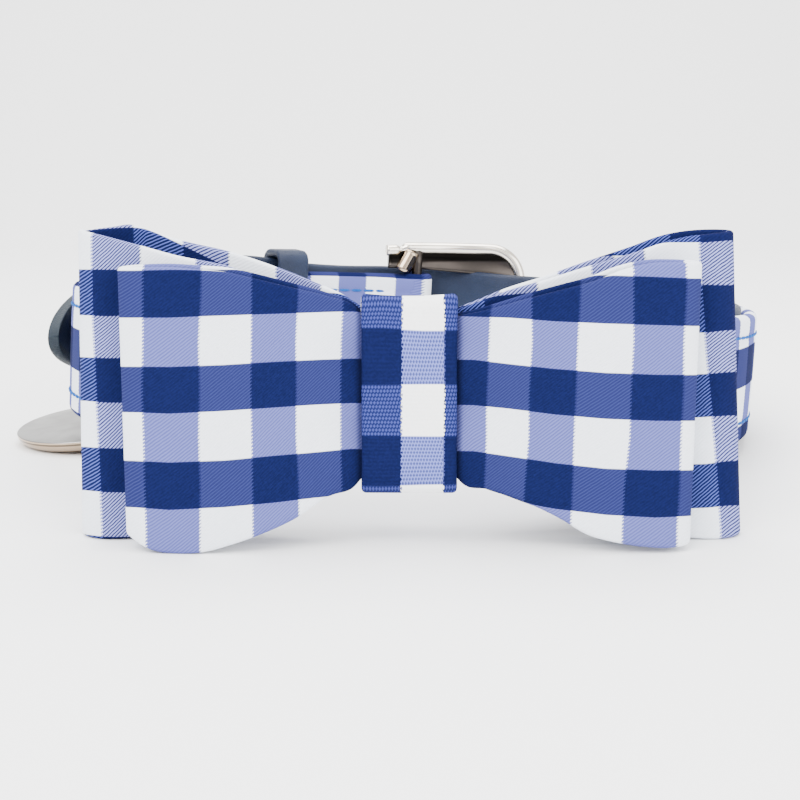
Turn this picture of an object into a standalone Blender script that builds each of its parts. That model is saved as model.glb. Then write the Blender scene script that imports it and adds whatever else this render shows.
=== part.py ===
# A pet collar with a double gingham bow: a cloth-covered webbing band with a leather tail,
# a buckle at the back, a D-ring with a blank disc, and two stacked bow loops under a knot.
# Metres, +Z up. The bow faces -Y and the buckle is at the back.
import math

import bmesh
import bpy
import numpy as np
from mathutils import Matrix, Vector

# Clearance between pieces that touch
GAP = 0.0003

# Loop of the collar, along the middle of the band
LOOP_HALF_WIDTH = 0.0680
LOOP_HALF_DEPTH = 0.0633
LOOP_EGG = 0.12
LOOP_TURN = 0.0080
LOOP_CENTRE_X = 0.0041
LOOP_FRONT_Y = 0.0144

# Height of the band's lower edge above the table, round the loop
EDGE_MEAN = 0.00610
EDGE_FALL_BACK = 0.00415
EDGE_FALL_RIGHT = 0.0040
EDGE_TWIST = 0.00075

# Sideways lean of every upright piece for each metre of height
LEAN_RIGHT = 0.055
LEAN_BACK = 0.075

# Band
BAND_WIDTH = 0.0254
BAND_THICKNESS = 0.0030
BAND_END_ANGLE = 138.0

# Leather tail
BILLET_WIDTH = 0.0254
BILLET_THICKNESS = 0.0022
BILLET_START_ANGLE = 62.0
BILLET_TAIL = 0.102
BILLET_POINT = 0.031
BILLET_RISE = 0.0015
BILLET_SPRING = 0.0048
HOLE_DIAMETER = 0.0036
HOLE_SPACING = 0.0130
HOLES_IN_TAIL = 4
PRONG_HOLE_LENGTH = 0.0114

# Keeper
KEEPER_WIDTH = 0.0080
KEEPER_THICKNESS = 0.0018
KEEPER_FROM_HEEL = 0.0326

# Buckle
HEEL_X = 0.0027
HEEL_RADIUS = 0.0013
FRAME_LENGTH = 0.0254
FRAME_HEIGHT = 0.0358
FRAME_EAR = 0.0074
FRAME_RADIUS = 0.0019
FRAME_FOOT_RADIUS = 0.00115
FRAME_EAR_RADIUS = 0.00145
FRAME_CORNER = 0.0075
FRAME_SET_OUT = 0.0016
FRAME_ARCH = 0.0010
PRONG_RADIUS = 0.0011

# D-ring, split ring and disc
D_RING_ANGLE = -116.6
D_RING_RADIUS = 0.0013
D_RING_DEPTH = 0.0101
SPLIT_RING_RADIUS = 0.0063
SPLIT_WIRE_RADIUS = 0.00065
SPLIT_RING_SLOPE = 71.4
SPLIT_RING_HEADING = 80.0
SPLIT_RING_TURN = 208.3
RING_ON_ARC = -50.0
RING_HANG = 0.0021
DISC_DIAMETER = 0.0314
DISC_THICKNESS = 0.0024
DISC_TILT = 5.9
DISC_HEADING = 30.0
DISC_HOLE_DIAMETER = 0.0046
DISC_HOLE_INSET = 0.0031

# Bow
CLOTH = 0.0012
BOW_X = 0.0014
REAR_HALF_WIDTH = 0.0525
REAR_HEIGHT = 0.0488
REAR_SETBACK = 0.0128
REAR_OPENING = 0.0088
FRONT_HALF_WIDTH = 0.0442
FRONT_HEIGHT = 0.0450
FRONT_SETBACK = 0.0060
FRONT_OPENING = 0.0058
FOLD_SHARE = 0.90
REAR_FOOT = 0.0001
REAR_FLARE_SHARES = (0.010, 0.045)
FRONT_FLARE_SHARES = (0.0, 0.0)

# Knot
KNOT_WIDTH = 0.0150
KNOT_SLACK_TOP = 0.0011
KNOT_SLACK_FOOT = 0.0006
KNOT_CLOTH = 0.0014
KNOT_CROWN = 0.0007
KNOT_CORNER = 0.0016
KNOT_FALL = 0.0019

# Rear bow, from its middle to a fold. Shares of REAR_HALF_WIDTH, REAR_HEIGHT, REAR_SETBACK and
# REAR_OPENING; foot is the lower edge, tops are the upper edges of the front and back layers.
REAR_COLUMNS = ("share", "front_top_left", "back_top_left", "top_right", "foot", "setback", "opening")
REAR_ROWS = (
    (0.00, 0.750, 0.750, 0.750, 0.236, 0.738, 0.171),
    (0.14, 0.755, 0.755, 0.755, 0.232, 0.742, 0.176),
    (0.30, 0.805, 0.826, 0.814, 0.140, 0.797, 0.364),
    (0.42, 0.846, 0.869, 0.852, 0.094, 0.836, 0.500),
    (0.55, 0.895, 0.924, 0.895, 0.053, 0.898, 0.705),
    (0.70, 0.930, 0.961, 0.943, 0.023, 0.961, 0.900),
    (0.82, 0.965, 0.994, 0.984, 0.007, 1.000, 1.000),
    (0.92, 0.990, 1.008, 1.000, 0.000, 0.977, 0.950),
    (1.00, 0.994, 0.996, 1.006, 0.000, 0.938, 0.900),
)

# Front bow, in the same way, with both layers cut to one outline
FRONT_COLUMNS = ("share", "top_left", "top_right", "foot_left", "foot_right", "setback", "opening")
FRONT_ROWS = (
    (0.00, 0.818, 0.814, 0.252, 0.252, 0.992, 0.328),
    (0.17, 0.824, 0.816, 0.250, 0.252, 0.986, 0.340),
    (0.28, 0.875, 0.840, 0.198, 0.222, 0.750, 0.700),
    (0.41, 0.916, 0.880, 0.120, 0.180, 0.640, 0.900),
    (0.54, 0.962, 0.917, 0.064, 0.126, 0.560, 1.000),
    (0.63, 0.990, 0.940, 0.036, 0.073, 0.540, 1.000),
    (0.73, 0.992, 0.978, 0.008, 0.044, 0.530, 0.950),
    (0.83, 0.993, 1.002, 0.000, 0.027, 0.530, 0.850),
    (0.92, 0.994, 1.004, 0.010, 0.018, 0.530, 0.800),
    (1.00, 0.994, 1.004, 0.058, 0.020, 0.533, 0.780),
)

# How far the tail rises above the band and stands off it, in shares of BILLET_RISE and
# BILLET_SPRING; place is the share of the tail, from the heel bar to the tip.
TAIL_COLUMNS = ("place", "rise", "off")
TAIL_ROWS = (
    (0.00, 0.80, 0.00),
    (0.28, 1.30, 0.00),
    (0.40, 2.30, 0.01),
    (0.55, 2.30, 0.03),
    (0.72, 1.60, 0.16),
    (0.86, 1.00, 0.50),
    (1.00, 0.60, 1.00),
)

COLLECTION_NAME = "bow_tie_collar"


def column(rows, columns, name):
    """One named column of a table, as an array."""
    return np.array([row[columns.index(name)] for row in rows])


def eased(x, places, values):
    """A smooth curve through a table's points: cubic pieces whose slopes are those of the chords."""
    places, values = np.asarray(places, float), np.asarray(values, float)
    slope = np.gradient(values, places)
    i = np.clip(np.searchsorted(places, x) - 1, 0, len(places) - 2)
    width = places[i + 1] - places[i]
    u = np.clip((x - places[i]) / width, 0, 1)
    return (
        (1 + 2 * u) * (1 - u) ** 2 * values[i]
        + u * (1 - u) ** 2 * width * slope[i]
        + u**2 * (3 - 2 * u) * values[i + 1]
        - u**2 * (1 - u) * width * slope[i + 1]
    )


def plan(turn):
    """The loop in plan. turn is 0 at the front and grows to the right; the loop is an oval,
    wider behind its middle and turned a little."""
    centre_y = LOOP_FRONT_Y + LOOP_HALF_DEPTH
    x = LOOP_CENTRE_X + LOOP_HALF_WIDTH * np.sin(turn) * (1 - LOOP_EGG * np.cos(turn))
    y = centre_y - LOOP_HALF_DEPTH * np.cos(turn) + LOOP_TURN * np.sin(turn)
    return x, y


TURNS = np.linspace(-1.5 * math.pi, 1.5 * math.pi, 3001)
PLAN_X, PLAN_Y = plan(TURNS)
LENGTHS = np.concatenate([[0], np.cumsum(np.hypot(np.diff(PLAN_X), np.diff(PLAN_Y)))])
LENGTHS = LENGTHS - np.interp(0, TURNS, LENGTHS)


def length_at(degrees):
    """Distance along the loop from the front to a turn, positive to the right."""
    return float(np.interp(math.radians(degrees), TURNS, LENGTHS))


def lower_edge(turn):
    """Height of the band's lower edge above the table."""
    return (
        EDGE_MEAN
        + EDGE_FALL_BACK * math.cos(turn)
        - EDGE_FALL_RIGHT * math.sin(turn)
        + EDGE_TWIST * math.cos(2 * turn)
    )


def edge_height(along):
    """Height of the band's lower edge at a distance along the loop."""
    return lower_edge(float(np.interp(along, LENGTHS, TURNS)))


def on_collar(along, out, height):
    """A point by its distance along the loop, outward from the band's middle, and above its
    lower edge."""
    turn = float(np.interp(along, LENGTHS, TURNS))
    step = 1e-4
    x, y = plan(turn)
    x2, y2 = plan(turn + step)
    way = Vector((float(x2 - x), float(y2 - y))).normalized()
    return Vector((
        float(x) + out * way.y + height * LEAN_RIGHT,
        float(y) - out * way.x + height * LEAN_BACK,
        lower_edge(turn) + height,
    ))


HEEL = length_at(180.0)
HEEL = float(np.interp(-HEEL_X, -PLAN_X[TURNS > 2.5], LENGTHS[TURNS > 2.5]))
LOOP_LENGTH = length_at(180.0) - length_at(-180.0)


def material(name, colour, roughness, metallic=0.0):
    made = bpy.data.materials.new(name)
    made.use_nodes = True
    shader = made.node_tree.nodes["Principled BSDF"]
    shader.inputs["Base Color"].default_value = (*colour, 1)
    shader.inputs["Roughness"].default_value = roughness
    shader.inputs["Metallic"].default_value = metallic
    made.diffuse_color = (*colour, 1)
    return made


def clear_scene():
    for item in list(bpy.data.objects):
        bpy.data.objects.remove(item, do_unlink=True)


def new_object(name, data, group, finish=None):
    made = bpy.data.objects.new(name, data)
    group.objects.link(made)
    if finish:
        data.materials.append(finish)
    return made


def sheet_mesh(name, grid, ring=False):
    """A mesh through a grid of points, rows of equal length; ring joins the last row to the first."""
    wide = len(grid[0])
    points = [p for row in grid for p in row]
    rows = len(grid)
    faces = []
    for i in range(rows if ring else rows - 1):
        for j in range(wide - 1):
            a, b = i * wide + j, ((i + 1) % rows) * wide + j
            faces.append((a, a + 1, b + 1, b))
    mesh = bpy.data.meshes.new(name)
    mesh.from_pydata(points, [], faces)
    return mesh


def thicken(item, thickness, edge=0.0):
    """Gives an open surface a wall centred on it, with its edges chamfered by edge."""
    wall = item.modifiers.new("wall", "SOLIDIFY")
    wall.thickness = thickness
    wall.offset = 0
    wall.use_even_offset = True
    if edge:
        bevel = item.modifiers.new("edge", "BEVEL")
        bevel.width = edge
        bevel.segments = 1
        bevel.limit_method = "ANGLE"
        bevel.angle_limit = math.radians(50)


def as_mesh(item, group):
    """A mesh object made from the evaluated item, which it replaces."""
    graph = bpy.context.evaluated_depsgraph_get()
    mesh = bpy.data.meshes.new_from_object(item.evaluated_get(graph))
    shape = bmesh.new()
    shape.from_mesh(mesh)
    bmesh.ops.remove_doubles(shape, verts=shape.verts, dist=1e-6)
    bmesh.ops.recalc_face_normals(shape, faces=shape.faces)
    shape.to_mesh(mesh)
    shape.free()
    name, place = item.name, item.matrix_world.copy()
    bpy.data.objects.remove(item, do_unlink=True)
    made = bpy.data.objects.new(name, mesh)
    group.objects.link(made)
    made.matrix_world = place
    return made


def tube(name, points, radii, group, finish=None, closed=False, sides=2):
    """A round bar through the points, a radius for each point."""
    curve = bpy.data.curves.new(name, "CURVE")
    curve.dimensions = "3D"
    curve.bevel_depth = 1.0
    curve.bevel_resolution = sides
    curve.use_fill_caps = not closed
    line = curve.splines.new("POLY")
    line.points.add(len(points) - 1)
    for point, place, radius in zip(line.points, points, radii):
        point.co = (*place, 1)
        point.radius = radius
    line.use_cyclic_u = closed
    return new_object(name, curve, group, finish)


def boolean(item, other, operation):
    step = item.modifiers.new(other.name, "BOOLEAN")
    step.object = other
    step.operation = operation


def helper(item):
    """Marks an object as a cutter or a joined helper that isn't shown."""
    item.hide_render = True
    item.display_type = "WIRE"
    return item


def outward(shape):
    """Turns a closed shape's faces outward."""
    shape.normal_update()
    bmesh.ops.recalc_face_normals(shape, faces=shape.faces)


def block(name, group, along, out, height, size):
    """A box by its middle on the collar and its size along, out and up."""
    corners = bmesh.new()
    bmesh.ops.create_cube(corners, size=1.0)
    for v in corners.verts:
        v.co = on_collar(along + v.co.x * size[0], out + v.co.y * size[1], height + v.co.z * size[2])
    outward(corners)
    mesh = bpy.data.meshes.new(name)
    corners.to_mesh(mesh)
    corners.free()
    return new_object(name, mesh, group)


def upright(name, group, along, out, low, high, radius, sides=16):
    """A round bar that stands on the collar, leaning as the band does."""
    bar = bmesh.new()
    bmesh.ops.create_cone(bar, cap_ends=True, segments=sides, radius1=radius, radius2=radius, depth=1.0)
    foot, head = on_collar(along, out, low), on_collar(along, out, high)
    for v in bar.verts:
        share = v.co.z + 0.5
        centre = foot.lerp(head, share)
        v.co = centre + Vector((v.co.x, v.co.y, 0))
    outward(bar)
    mesh = bpy.data.meshes.new(name)
    bar.to_mesh(mesh)
    bar.free()
    return new_object(name, mesh, group)


def radial_pin(name, group, along, out, height, radius, depth, stretch=1.0, sides=16):
    """A round or oval cutter that points outward through the collar."""
    pin = bmesh.new()
    bmesh.ops.create_cone(pin, cap_ends=True, segments=sides, radius1=radius, radius2=radius, depth=depth)
    for v in pin.verts:
        v.co = on_collar(along + v.co.x * stretch, out + v.co.z, height + v.co.y)
    outward(pin)
    mesh = bpy.data.meshes.new(name)
    pin.to_mesh(mesh)
    pin.free()
    return new_object(name, mesh, group)


def strap_rows(alongs, outs, lows, highs):
    return [[on_collar(s, o, a), on_collar(s, o, b)] for s, o, a, b in zip(alongs, outs, lows, highs)]


def make_band(parts, cutters, finish):
    """The webbing, and the eye at its end that folds round the heel bar."""
    eye_out = HEEL_RADIUS + GAP + BAND_THICKNESS / 2
    start = HEEL - LOOP_LENGTH - eye_out * 0.7
    end = length_at(BAND_END_ANGLE)
    count = 84
    alongs = np.linspace(start, end, count)
    zero = np.zeros(count)
    mesh = sheet_mesh("collar_band", strap_rows(alongs, zero, zero, zero + BAND_WIDTH))
    band = new_object("collar_band", mesh, parts, finish)
    thicken(band, BAND_THICKNESS, 0.0006)
    outer = helper(upright("band_eye", cutters, HEEL, 0, 0, BAND_WIDTH, eye_out + BAND_THICKNESS / 4, 20))
    bore = upright("band_bore", cutters, HEEL, 0, -0.002, BAND_WIDTH + 0.002, HEEL_RADIUS + GAP, 16)
    slot_height = 2 * PRONG_RADIUS + 4 * GAP
    reach = 3 * eye_out
    slot = block(
        "prong_slot", cutters, HEEL - reach / 2 + HEEL_RADIUS + 2 * PRONG_RADIUS + 3 * GAP, 0,
        BILLET_RISE + BILLET_WIDTH / 2, (reach, 3 * reach, slot_height),
    )
    boolean(band, outer, "UNION")
    boolean(band, helper(bore), "DIFFERENCE")
    boolean(band, helper(slot), "DIFFERENCE")
    return band


INNER = -(BAND_THICKNESS / 2 + GAP + BILLET_THICKNESS / 2)
OUTER = -INNER
EYE_OUTER = HEEL_RADIUS + GAP + BAND_THICKNESS * 0.75
OVER_EYE = EYE_OUTER + 2 * GAP + BILLET_THICKNESS / 2
UNDER_BAR = FRAME_SET_OUT - FRAME_RADIUS - GAP - BILLET_THICKNESS / 2


def smooth(share):
    share = min(max(share, 0.0), 1.0)
    return share * share * (3 - 2 * share)


def billet_out(along):
    """How far the leather's middle lies outward: inside the band, under the front bar, over
    the eye and then outside the band."""
    bar = HEEL - FRAME_LENGTH
    under = INNER + (UNDER_BAR - INNER) * smooth((along - length_at(BAND_END_ANGLE)) / 0.012)
    rise = smooth((along - bar - 0.002) / (FRAME_LENGTH - 0.002 - EYE_OUTER - 0.001))
    settle = smooth((along - HEEL - EYE_OUTER - 0.001) / 0.014)
    return under + (OVER_EYE - under) * rise + (OUTER - OVER_EYE) * settle


def make_billet(parts, cutters, finish):
    start = length_at(BILLET_START_ANGLE)
    tip = HEEL + BILLET_TAIL
    body = np.linspace(start, tip - BILLET_POINT, 62)
    point = tip - BILLET_POINT * (1 - np.sin(np.linspace(0, math.pi / 2, 9)))[1:]
    alongs = np.concatenate([body, point])
    place = np.clip((alongs - HEEL) / BILLET_TAIL, 0, 1)
    places = column(TAIL_ROWS, TAIL_COLUMNS, "place")
    rise = BILLET_RISE * eased(place, places, column(TAIL_ROWS, TAIL_COLUMNS, "rise"))
    off = BILLET_SPRING * eased(place, places, column(TAIL_ROWS, TAIL_COLUMNS, "off"))
    from_tip = np.clip((tip - alongs) / BILLET_POINT, 0, 1)
    half = BILLET_WIDTH / 2 * np.maximum(np.sqrt(1 - (1 - from_tip) ** 2), 0.06)
    middle = rise + BILLET_WIDTH / 2
    outs = np.array([billet_out(s) for s in alongs]) + off
    mesh = sheet_mesh("billet", strap_rows(alongs, outs, middle - half, middle + half))
    billet = new_object("billet", mesh, parts, finish)
    thicken(billet, BILLET_THICKNESS, 0.0004)
    return billet


def prong_hole_place():
    """Where the prong crosses the leather, as a distance past the heel bar and an offset."""
    for step in np.linspace(0.004, FRAME_LENGTH, 200):
        if prong_out(step) >= billet_out(HEEL - step):
            return step, prong_out(step)
    return FRAME_LENGTH / 2, 0.0


def punch_billet(billet, cutters):
    """The slot that the prong has worn open, and the spare holes towards the tip."""
    step, out = prong_hole_place()
    middle = BILLET_RISE + BILLET_WIDTH / 2
    depth = 5 * BILLET_THICKNESS
    slot = block(
        "prong_hole", cutters, HEEL - step, out, middle,
        (PRONG_HOLE_LENGTH, depth, 2 * PRONG_RADIUS + 4 * GAP),
    )
    boolean(billet, helper(slot), "DIFFERENCE")
    places = column(TAIL_ROWS, TAIL_COLUMNS, "place")
    for k in range(HOLES_IN_TAIL):
        along = HEEL - step + HOLE_SPACING * (k + 2.9)
        place = (along - HEEL) / BILLET_TAIL
        rise = BILLET_RISE * float(eased(place, places, column(TAIL_ROWS, TAIL_COLUMNS, "rise")))
        off = BILLET_SPRING * float(eased(place, places, column(TAIL_ROWS, TAIL_COLUMNS, "off")))
        cutter = radial_pin(
            f"hole_{k + 1}", cutters, along, billet_out(along) + off, rise + BILLET_WIDTH / 2,
            HOLE_DIAMETER / 2, 2 * BILLET_THICKNESS, sides=12,
        )
        boolean(billet, helper(cutter), "DIFFERENCE")


def rounded_loop(low, high, near, far, corner, steps=4):
    """A rounded rectangle as (across, up) pairs, anticlockwise."""
    made = []
    for k, (across, up) in enumerate(((far, low), (far, high), (near, high), (near, low))):
        side_across = -1 if across == far else 1
        side_up = 1 if up == low else -1
        for step in range(steps + 1):
            angle = math.radians(-90 + 90 * k + 90 * step / steps)
            made.append((
                across + side_across * corner + corner * math.cos(angle),
                up + side_up * corner + corner * math.sin(angle),
            ))
    return made


def make_keeper(parts, finish):
    """The leather loop round the band and the tail."""
    along = HEEL + KEEPER_FROM_HEEL
    rise = BILLET_RISE * 2.0
    wall = KEEPER_THICKNESS / 2 + GAP
    outline = rounded_loop(
        -wall, BILLET_WIDTH + rise + wall,
        -BAND_THICKNESS / 2 - wall, OUTER + BILLET_THICKNESS / 2 + wall + GAP, 0.0016,
    )
    grid = [
        [on_collar(along + side * KEEPER_WIDTH / 2, out, up) for side in (-1, 1)] for out, up in outline
    ]
    keeper = new_object("keeper", sheet_mesh("keeper", grid, ring=True), parts, finish)
    thicken(keeper, KEEPER_THICKNESS, 0.0004)
    return keeper


FRAME_TOP_BAR = FRAME_HEIGHT - FRAME_RADIUS
FRAME_FOOT_BAR = FRAME_FOOT_RADIUS
PRONG_HEIGHT = BILLET_RISE + BILLET_WIDTH / 2


def frame_out(step):
    """Outward place of the frame's bars, from the heel bar to the front bar."""
    share = min(max(step / FRAME_LENGTH, -0.3), 1)
    return FRAME_SET_OUT * share + FRAME_ARCH * math.sin(math.pi * max(share, 0))


def prong_out(step):
    """Outward place of the prong: level with its eye's outer side, then up onto the front bar."""
    start = HEEL_RADIUS + GAP + PRONG_RADIUS
    rest = FRAME_SET_OUT + FRAME_RADIUS + GAP + PRONG_RADIUS
    share = min(max(step / FRAME_LENGTH, 0), 1)
    return start + (rest - start) * share * share


def make_frame(parts, cutters, finish):
    """The buckle's frame: two side bars with short ears past the heel bar, and the front bar."""
    middle = (FRAME_TOP_BAR + FRAME_FOOT_BAR) / 2
    half = (FRAME_TOP_BAR - FRAME_FOOT_BAR) / 2
    walk = [(-FRAME_EAR, half), (-FRAME_EAR * 0.4, half), (FRAME_LENGTH * 0.2, half)]
    walk.append((FRAME_LENGTH * 0.45, half))
    for k in range(6):
        angle = math.radians(90 - 90 * k / 5)
        walk.append((
            FRAME_LENGTH - FRAME_CORNER + FRAME_CORNER * math.cos(angle),
            half - FRAME_CORNER + FRAME_CORNER * math.sin(angle),
        ))
    walk += [(step, -up) for step, up in reversed(walk)]
    places, radii = [], []
    for step, up in walk:
        above_edge = middle + up - edge_height(HEEL - step)
        places.append(on_collar(HEEL - step, frame_out(step), above_edge))
        radius = FRAME_FOOT_RADIUS + (FRAME_RADIUS - FRAME_FOOT_RADIUS) * (up + half) / (2 * half)
        radii.append(min(radius, FRAME_EAR_RADIUS) if step < 0 else radius)
    curve = tube("buckle_frame", places, radii, parts, sides=2)
    frame = as_mesh(curve, parts)
    frame.data.materials.append(finish)
    edge = edge_height(HEEL)
    bar = upright(
        "heel_bar", cutters, HEEL, 0, FRAME_FOOT_BAR - edge, FRAME_TOP_BAR - edge, HEEL_RADIUS, 12,
    )
    boolean(frame, helper(bar), "UNION")
    return frame


def make_prong(parts, cutters, finish):
    """The tongue: an eye round the heel bar and a shank that rests on the front bar."""
    height = PRONG_HEIGHT
    eye = []
    eye_radius = HEEL_RADIUS + GAP + PRONG_RADIUS
    for k in range(14):
        angle = 2 * math.pi * k / 14
        eye.append(on_collar(HEEL - eye_radius * math.cos(angle), eye_radius * math.sin(angle), height))
    ring = tube("prong_eye", eye, [PRONG_RADIUS] * len(eye), cutters, closed=True)
    ring = helper(as_mesh(ring, cutters))
    steps = np.linspace(0.0, FRAME_LENGTH + 0.0022, 9)
    shank = [on_collar(HEEL - step, prong_out(step), height) for step in steps]
    radii = [PRONG_RADIUS] * (len(steps) - 1) + [PRONG_RADIUS * 0.75]
    prong = as_mesh(tube("buckle_prong", shank, radii, parts), parts)
    prong.data.materials.append(finish)
    boolean(prong, ring, "UNION")
    return prong


def d_ring_sizes():
    """Where the D's arc starts, its middle height and its half height."""
    place = (length_at(D_RING_ANGLE) + LOOP_LENGTH - HEEL) / BILLET_TAIL
    places = column(TAIL_ROWS, TAIL_COLUMNS, "place")
    rise = BILLET_RISE * float(eased(place, places, column(TAIL_ROWS, TAIL_COLUMNS, "rise")))
    low, high = -D_RING_RADIUS - 2 * GAP, BAND_WIDTH + rise + D_RING_RADIUS + 2 * GAP
    return -BAND_THICKNESS / 2, (low + high) / 2, (high - low) / 2


def d_ring_outline():
    """The D in (out, up) pairs: a straight bar outside the tail and an arc inside the loop."""
    place = (length_at(D_RING_ANGLE) + LOOP_LENGTH - HEEL) / BILLET_TAIL
    places = column(TAIL_ROWS, TAIL_COLUMNS, "place")
    off = BILLET_SPRING * float(eased(place, places, column(TAIL_ROWS, TAIL_COLUMNS, "off")))
    near, middle, half = d_ring_sizes()
    low, high = middle - half, middle + half
    far = OUTER + BILLET_THICKNESS / 2 + off + 3 * GAP + D_RING_RADIUS
    outline = [(near - D_RING_DEPTH * math.cos(a), middle + half * math.sin(a))
               for a in np.radians(np.linspace(90, -90, 11))]
    corner = 0.0012
    outline += [(far - corner, low), (far, low + corner), (far, high - corner), (far - corner, high)]
    return outline


def make_d_ring(parts, finish):
    outline = d_ring_outline()
    along = length_at(D_RING_ANGLE)
    points = [on_collar(along, out, up) for out, up in outline]
    return tube("d_ring", points, [D_RING_RADIUS] * len(points), parts, finish, closed=True)


def disc_matrix(x, y):
    """The disc lying with its rim on the table and the side with the hole raised."""
    radius, half = DISC_DIAMETER / 2, DISC_THICKNESS / 2
    tilt = math.radians(DISC_TILT)
    height = half + (radius - half) * math.sin(tilt)
    return (
        Matrix.Translation((x, y, height))
        @ Matrix.Rotation(math.radians(DISC_HEADING), 4, "Z")
        @ Matrix.Rotation(-tilt, 4, "Y")
    )


def ring_frame():
    """Centre of the split ring and the two axes of its plane. It hangs on the D-ring's arc, and
    its height is the one at which it passes through the hole of the disc on the table."""
    slope = math.radians(SPLIT_RING_SLOPE)
    heading = math.radians(SPLIT_RING_HEADING)
    ahead = Vector((math.cos(heading), math.sin(heading), 0))
    side = Vector((-math.sin(heading), math.cos(heading), 0))
    rise = side * math.cos(slope) + Vector((0, 0, math.sin(slope)))
    near, middle, half = d_ring_sizes()
    arc = math.radians(RING_ON_ARC)
    hook = on_collar(
        length_at(D_RING_ANGLE), near - D_RING_DEPTH * math.cos(arc), middle + half * math.sin(arc),
    )
    centre = hook - ahead * RING_HANG
    hole = disc_matrix(0, 0) @ Vector((DISC_DIAMETER / 2 - DISC_HOLE_INSET, 0, 0))
    centre.z = hole.z - math.sin(math.radians(SPLIT_RING_TURN)) * rise.z * SPLIT_RING_RADIUS
    return centre, ahead, rise


def disc_place():
    """Where the disc lies, with the split ring through its hole."""
    centre, ahead, rise = ring_frame()
    turn = math.radians(SPLIT_RING_TURN)
    through = centre + (ahead * math.cos(turn) + rise * math.sin(turn)) * SPLIT_RING_RADIUS
    hole = disc_matrix(0, 0) @ Vector((DISC_DIAMETER / 2 - DISC_HOLE_INSET, 0, 0))
    return disc_matrix(through.x - hole.x, through.y - hole.y)


def make_split_ring(parts, finish):
    """Two close turns of wire, as one round ring."""
    centre, ahead, rise = ring_frame()
    points = []
    for k in range(20):
        angle = 2 * math.pi * k / 20
        points.append(centre + (ahead * math.cos(angle) + rise * math.sin(angle)) * SPLIT_RING_RADIUS)
    return tube("split_ring", points, [SPLIT_WIRE_RADIUS] * 20, parts, finish, closed=True, sides=1)


def make_disc(parts, cutters, finish):
    """A round disc with a rounded rim and a hole, lying on the table with its hole's side raised."""
    radius, half = DISC_DIAMETER / 2, DISC_THICKNESS / 2
    profile = [(0.0, half)]
    profile += [
        (radius - half + half * math.sin(a), half * math.cos(a)) for a in np.radians(np.linspace(0, 180, 7))
    ]
    profile += [(0.0, -half)]
    mesh = bpy.data.meshes.new("id_disc")
    mesh.from_pydata([(x, 0, z) for x, z in profile], [(k, k + 1) for k in range(len(profile) - 1)], [])
    disc = new_object("id_disc", mesh, parts, finish)
    turn = disc.modifiers.new("turn", "SCREW")
    turn.steps = turn.render_steps = 40
    turn.use_merge_vertices = True
    turn.merge_threshold = 1e-5
    hole = bmesh.new()
    bmesh.ops.create_cone(
        hole, cap_ends=True, segments=16, radius1=DISC_HOLE_DIAMETER / 2,
        radius2=DISC_HOLE_DIAMETER / 2, depth=4 * DISC_THICKNESS,
    )
    hole_mesh = bpy.data.meshes.new("disc_hole")
    hole.to_mesh(hole_mesh)
    hole.free()
    cutter = helper(new_object("disc_hole", hole_mesh, cutters))
    cutter.location = (radius - DISC_HOLE_INSET, 0, 0)
    cutter.parent = disc
    boolean(disc, cutter, "DIFFERENCE")
    disc.matrix_world = disc_place()
    return disc


def fold_shares():
    """Shares of a wing's length from the middle to its fold, closer together round the fold."""
    flat = np.linspace(0, FOLD_SHARE, 10)
    bend = FOLD_SHARE + (1 - FOLD_SHARE) * np.sin(np.radians((25, 48, 68, 90)))
    return np.concatenate([flat, bend])


def on_bow(x, back, height):
    return Vector((BOW_X + x, back + LEAN_BACK * height, height))


def bow_grid(half_width, edges, flares, rows=5):
    """The closed loop of one bow: out along the front layer to the right fold, back along the
    back layer, round the left fold. edges(share, side, front) gives foot, top and depth;
    flares says how much wider each side is at its foot than at its top."""
    shares = fold_shares()
    walk = [(s, 1, True) for s in shares] + [(s, 1, False) for s in shares[-2:0:-1]]
    walk += [(s, -1, False) for s in shares] + [(s, -1, True) for s in shares[-2:0:-1]]
    grid = []
    for share, side, front in walk:
        foot, top, back = edges(float(share), side, front)
        flare = flares[side > 0]
        line = []
        for k in range(rows + 1):
            up = k / rows
            reach = half_width * share * (1 + flare * (0.5 - up))
            line.append(on_bow(side * reach, back, foot + (top - foot) * up))
        grid.append(line)
    return grid


def fold_round(share):
    """1 along the wing and a quarter circle down to 0 round the fold."""
    bend = min(max((share - FOLD_SHARE) / (1 - FOLD_SHARE), 0), 1)
    return math.sqrt(1 - bend * bend)


def rear_edges(share, side, front):
    shares = column(REAR_ROWS, REAR_COLUMNS, "share")

    def read(name):
        return float(eased(share, shares, column(REAR_ROWS, REAR_COLUMNS, name)))

    top = read("top_right") if side > 0 else read("front_top_left" if front else "back_top_left")
    layer = -0.5 if front else 0.5
    gap = REAR_OPENING * read("opening") * fold_round(share)
    back = REAR_SETBACK * read("setback") + layer * gap
    return REAR_FOOT + REAR_HEIGHT * read("foot"), REAR_HEIGHT * top, back


def front_edges(share, side, front):
    shares = column(FRONT_ROWS, FRONT_COLUMNS, "share")

    def read(name):
        return float(eased(share, shares, column(FRONT_ROWS, FRONT_COLUMNS, name)))

    hand = "right" if side > 0 else "left"
    layer = -0.5 if front else 0.5
    gap = FRONT_OPENING * read("opening") * fold_round(share)
    back = FRONT_SETBACK * read("setback") + layer * gap
    return FRONT_HEIGHT * read("foot_" + hand), FRONT_HEIGHT * read("top_" + hand), back


def make_bow(name, half_width, edges, flares, parts, finish):
    mesh = sheet_mesh(name, bow_grid(half_width, edges, flares), ring=True)
    bow = new_object(name, mesh, parts, finish)
    thicken(bow, CLOTH)
    return bow


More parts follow.
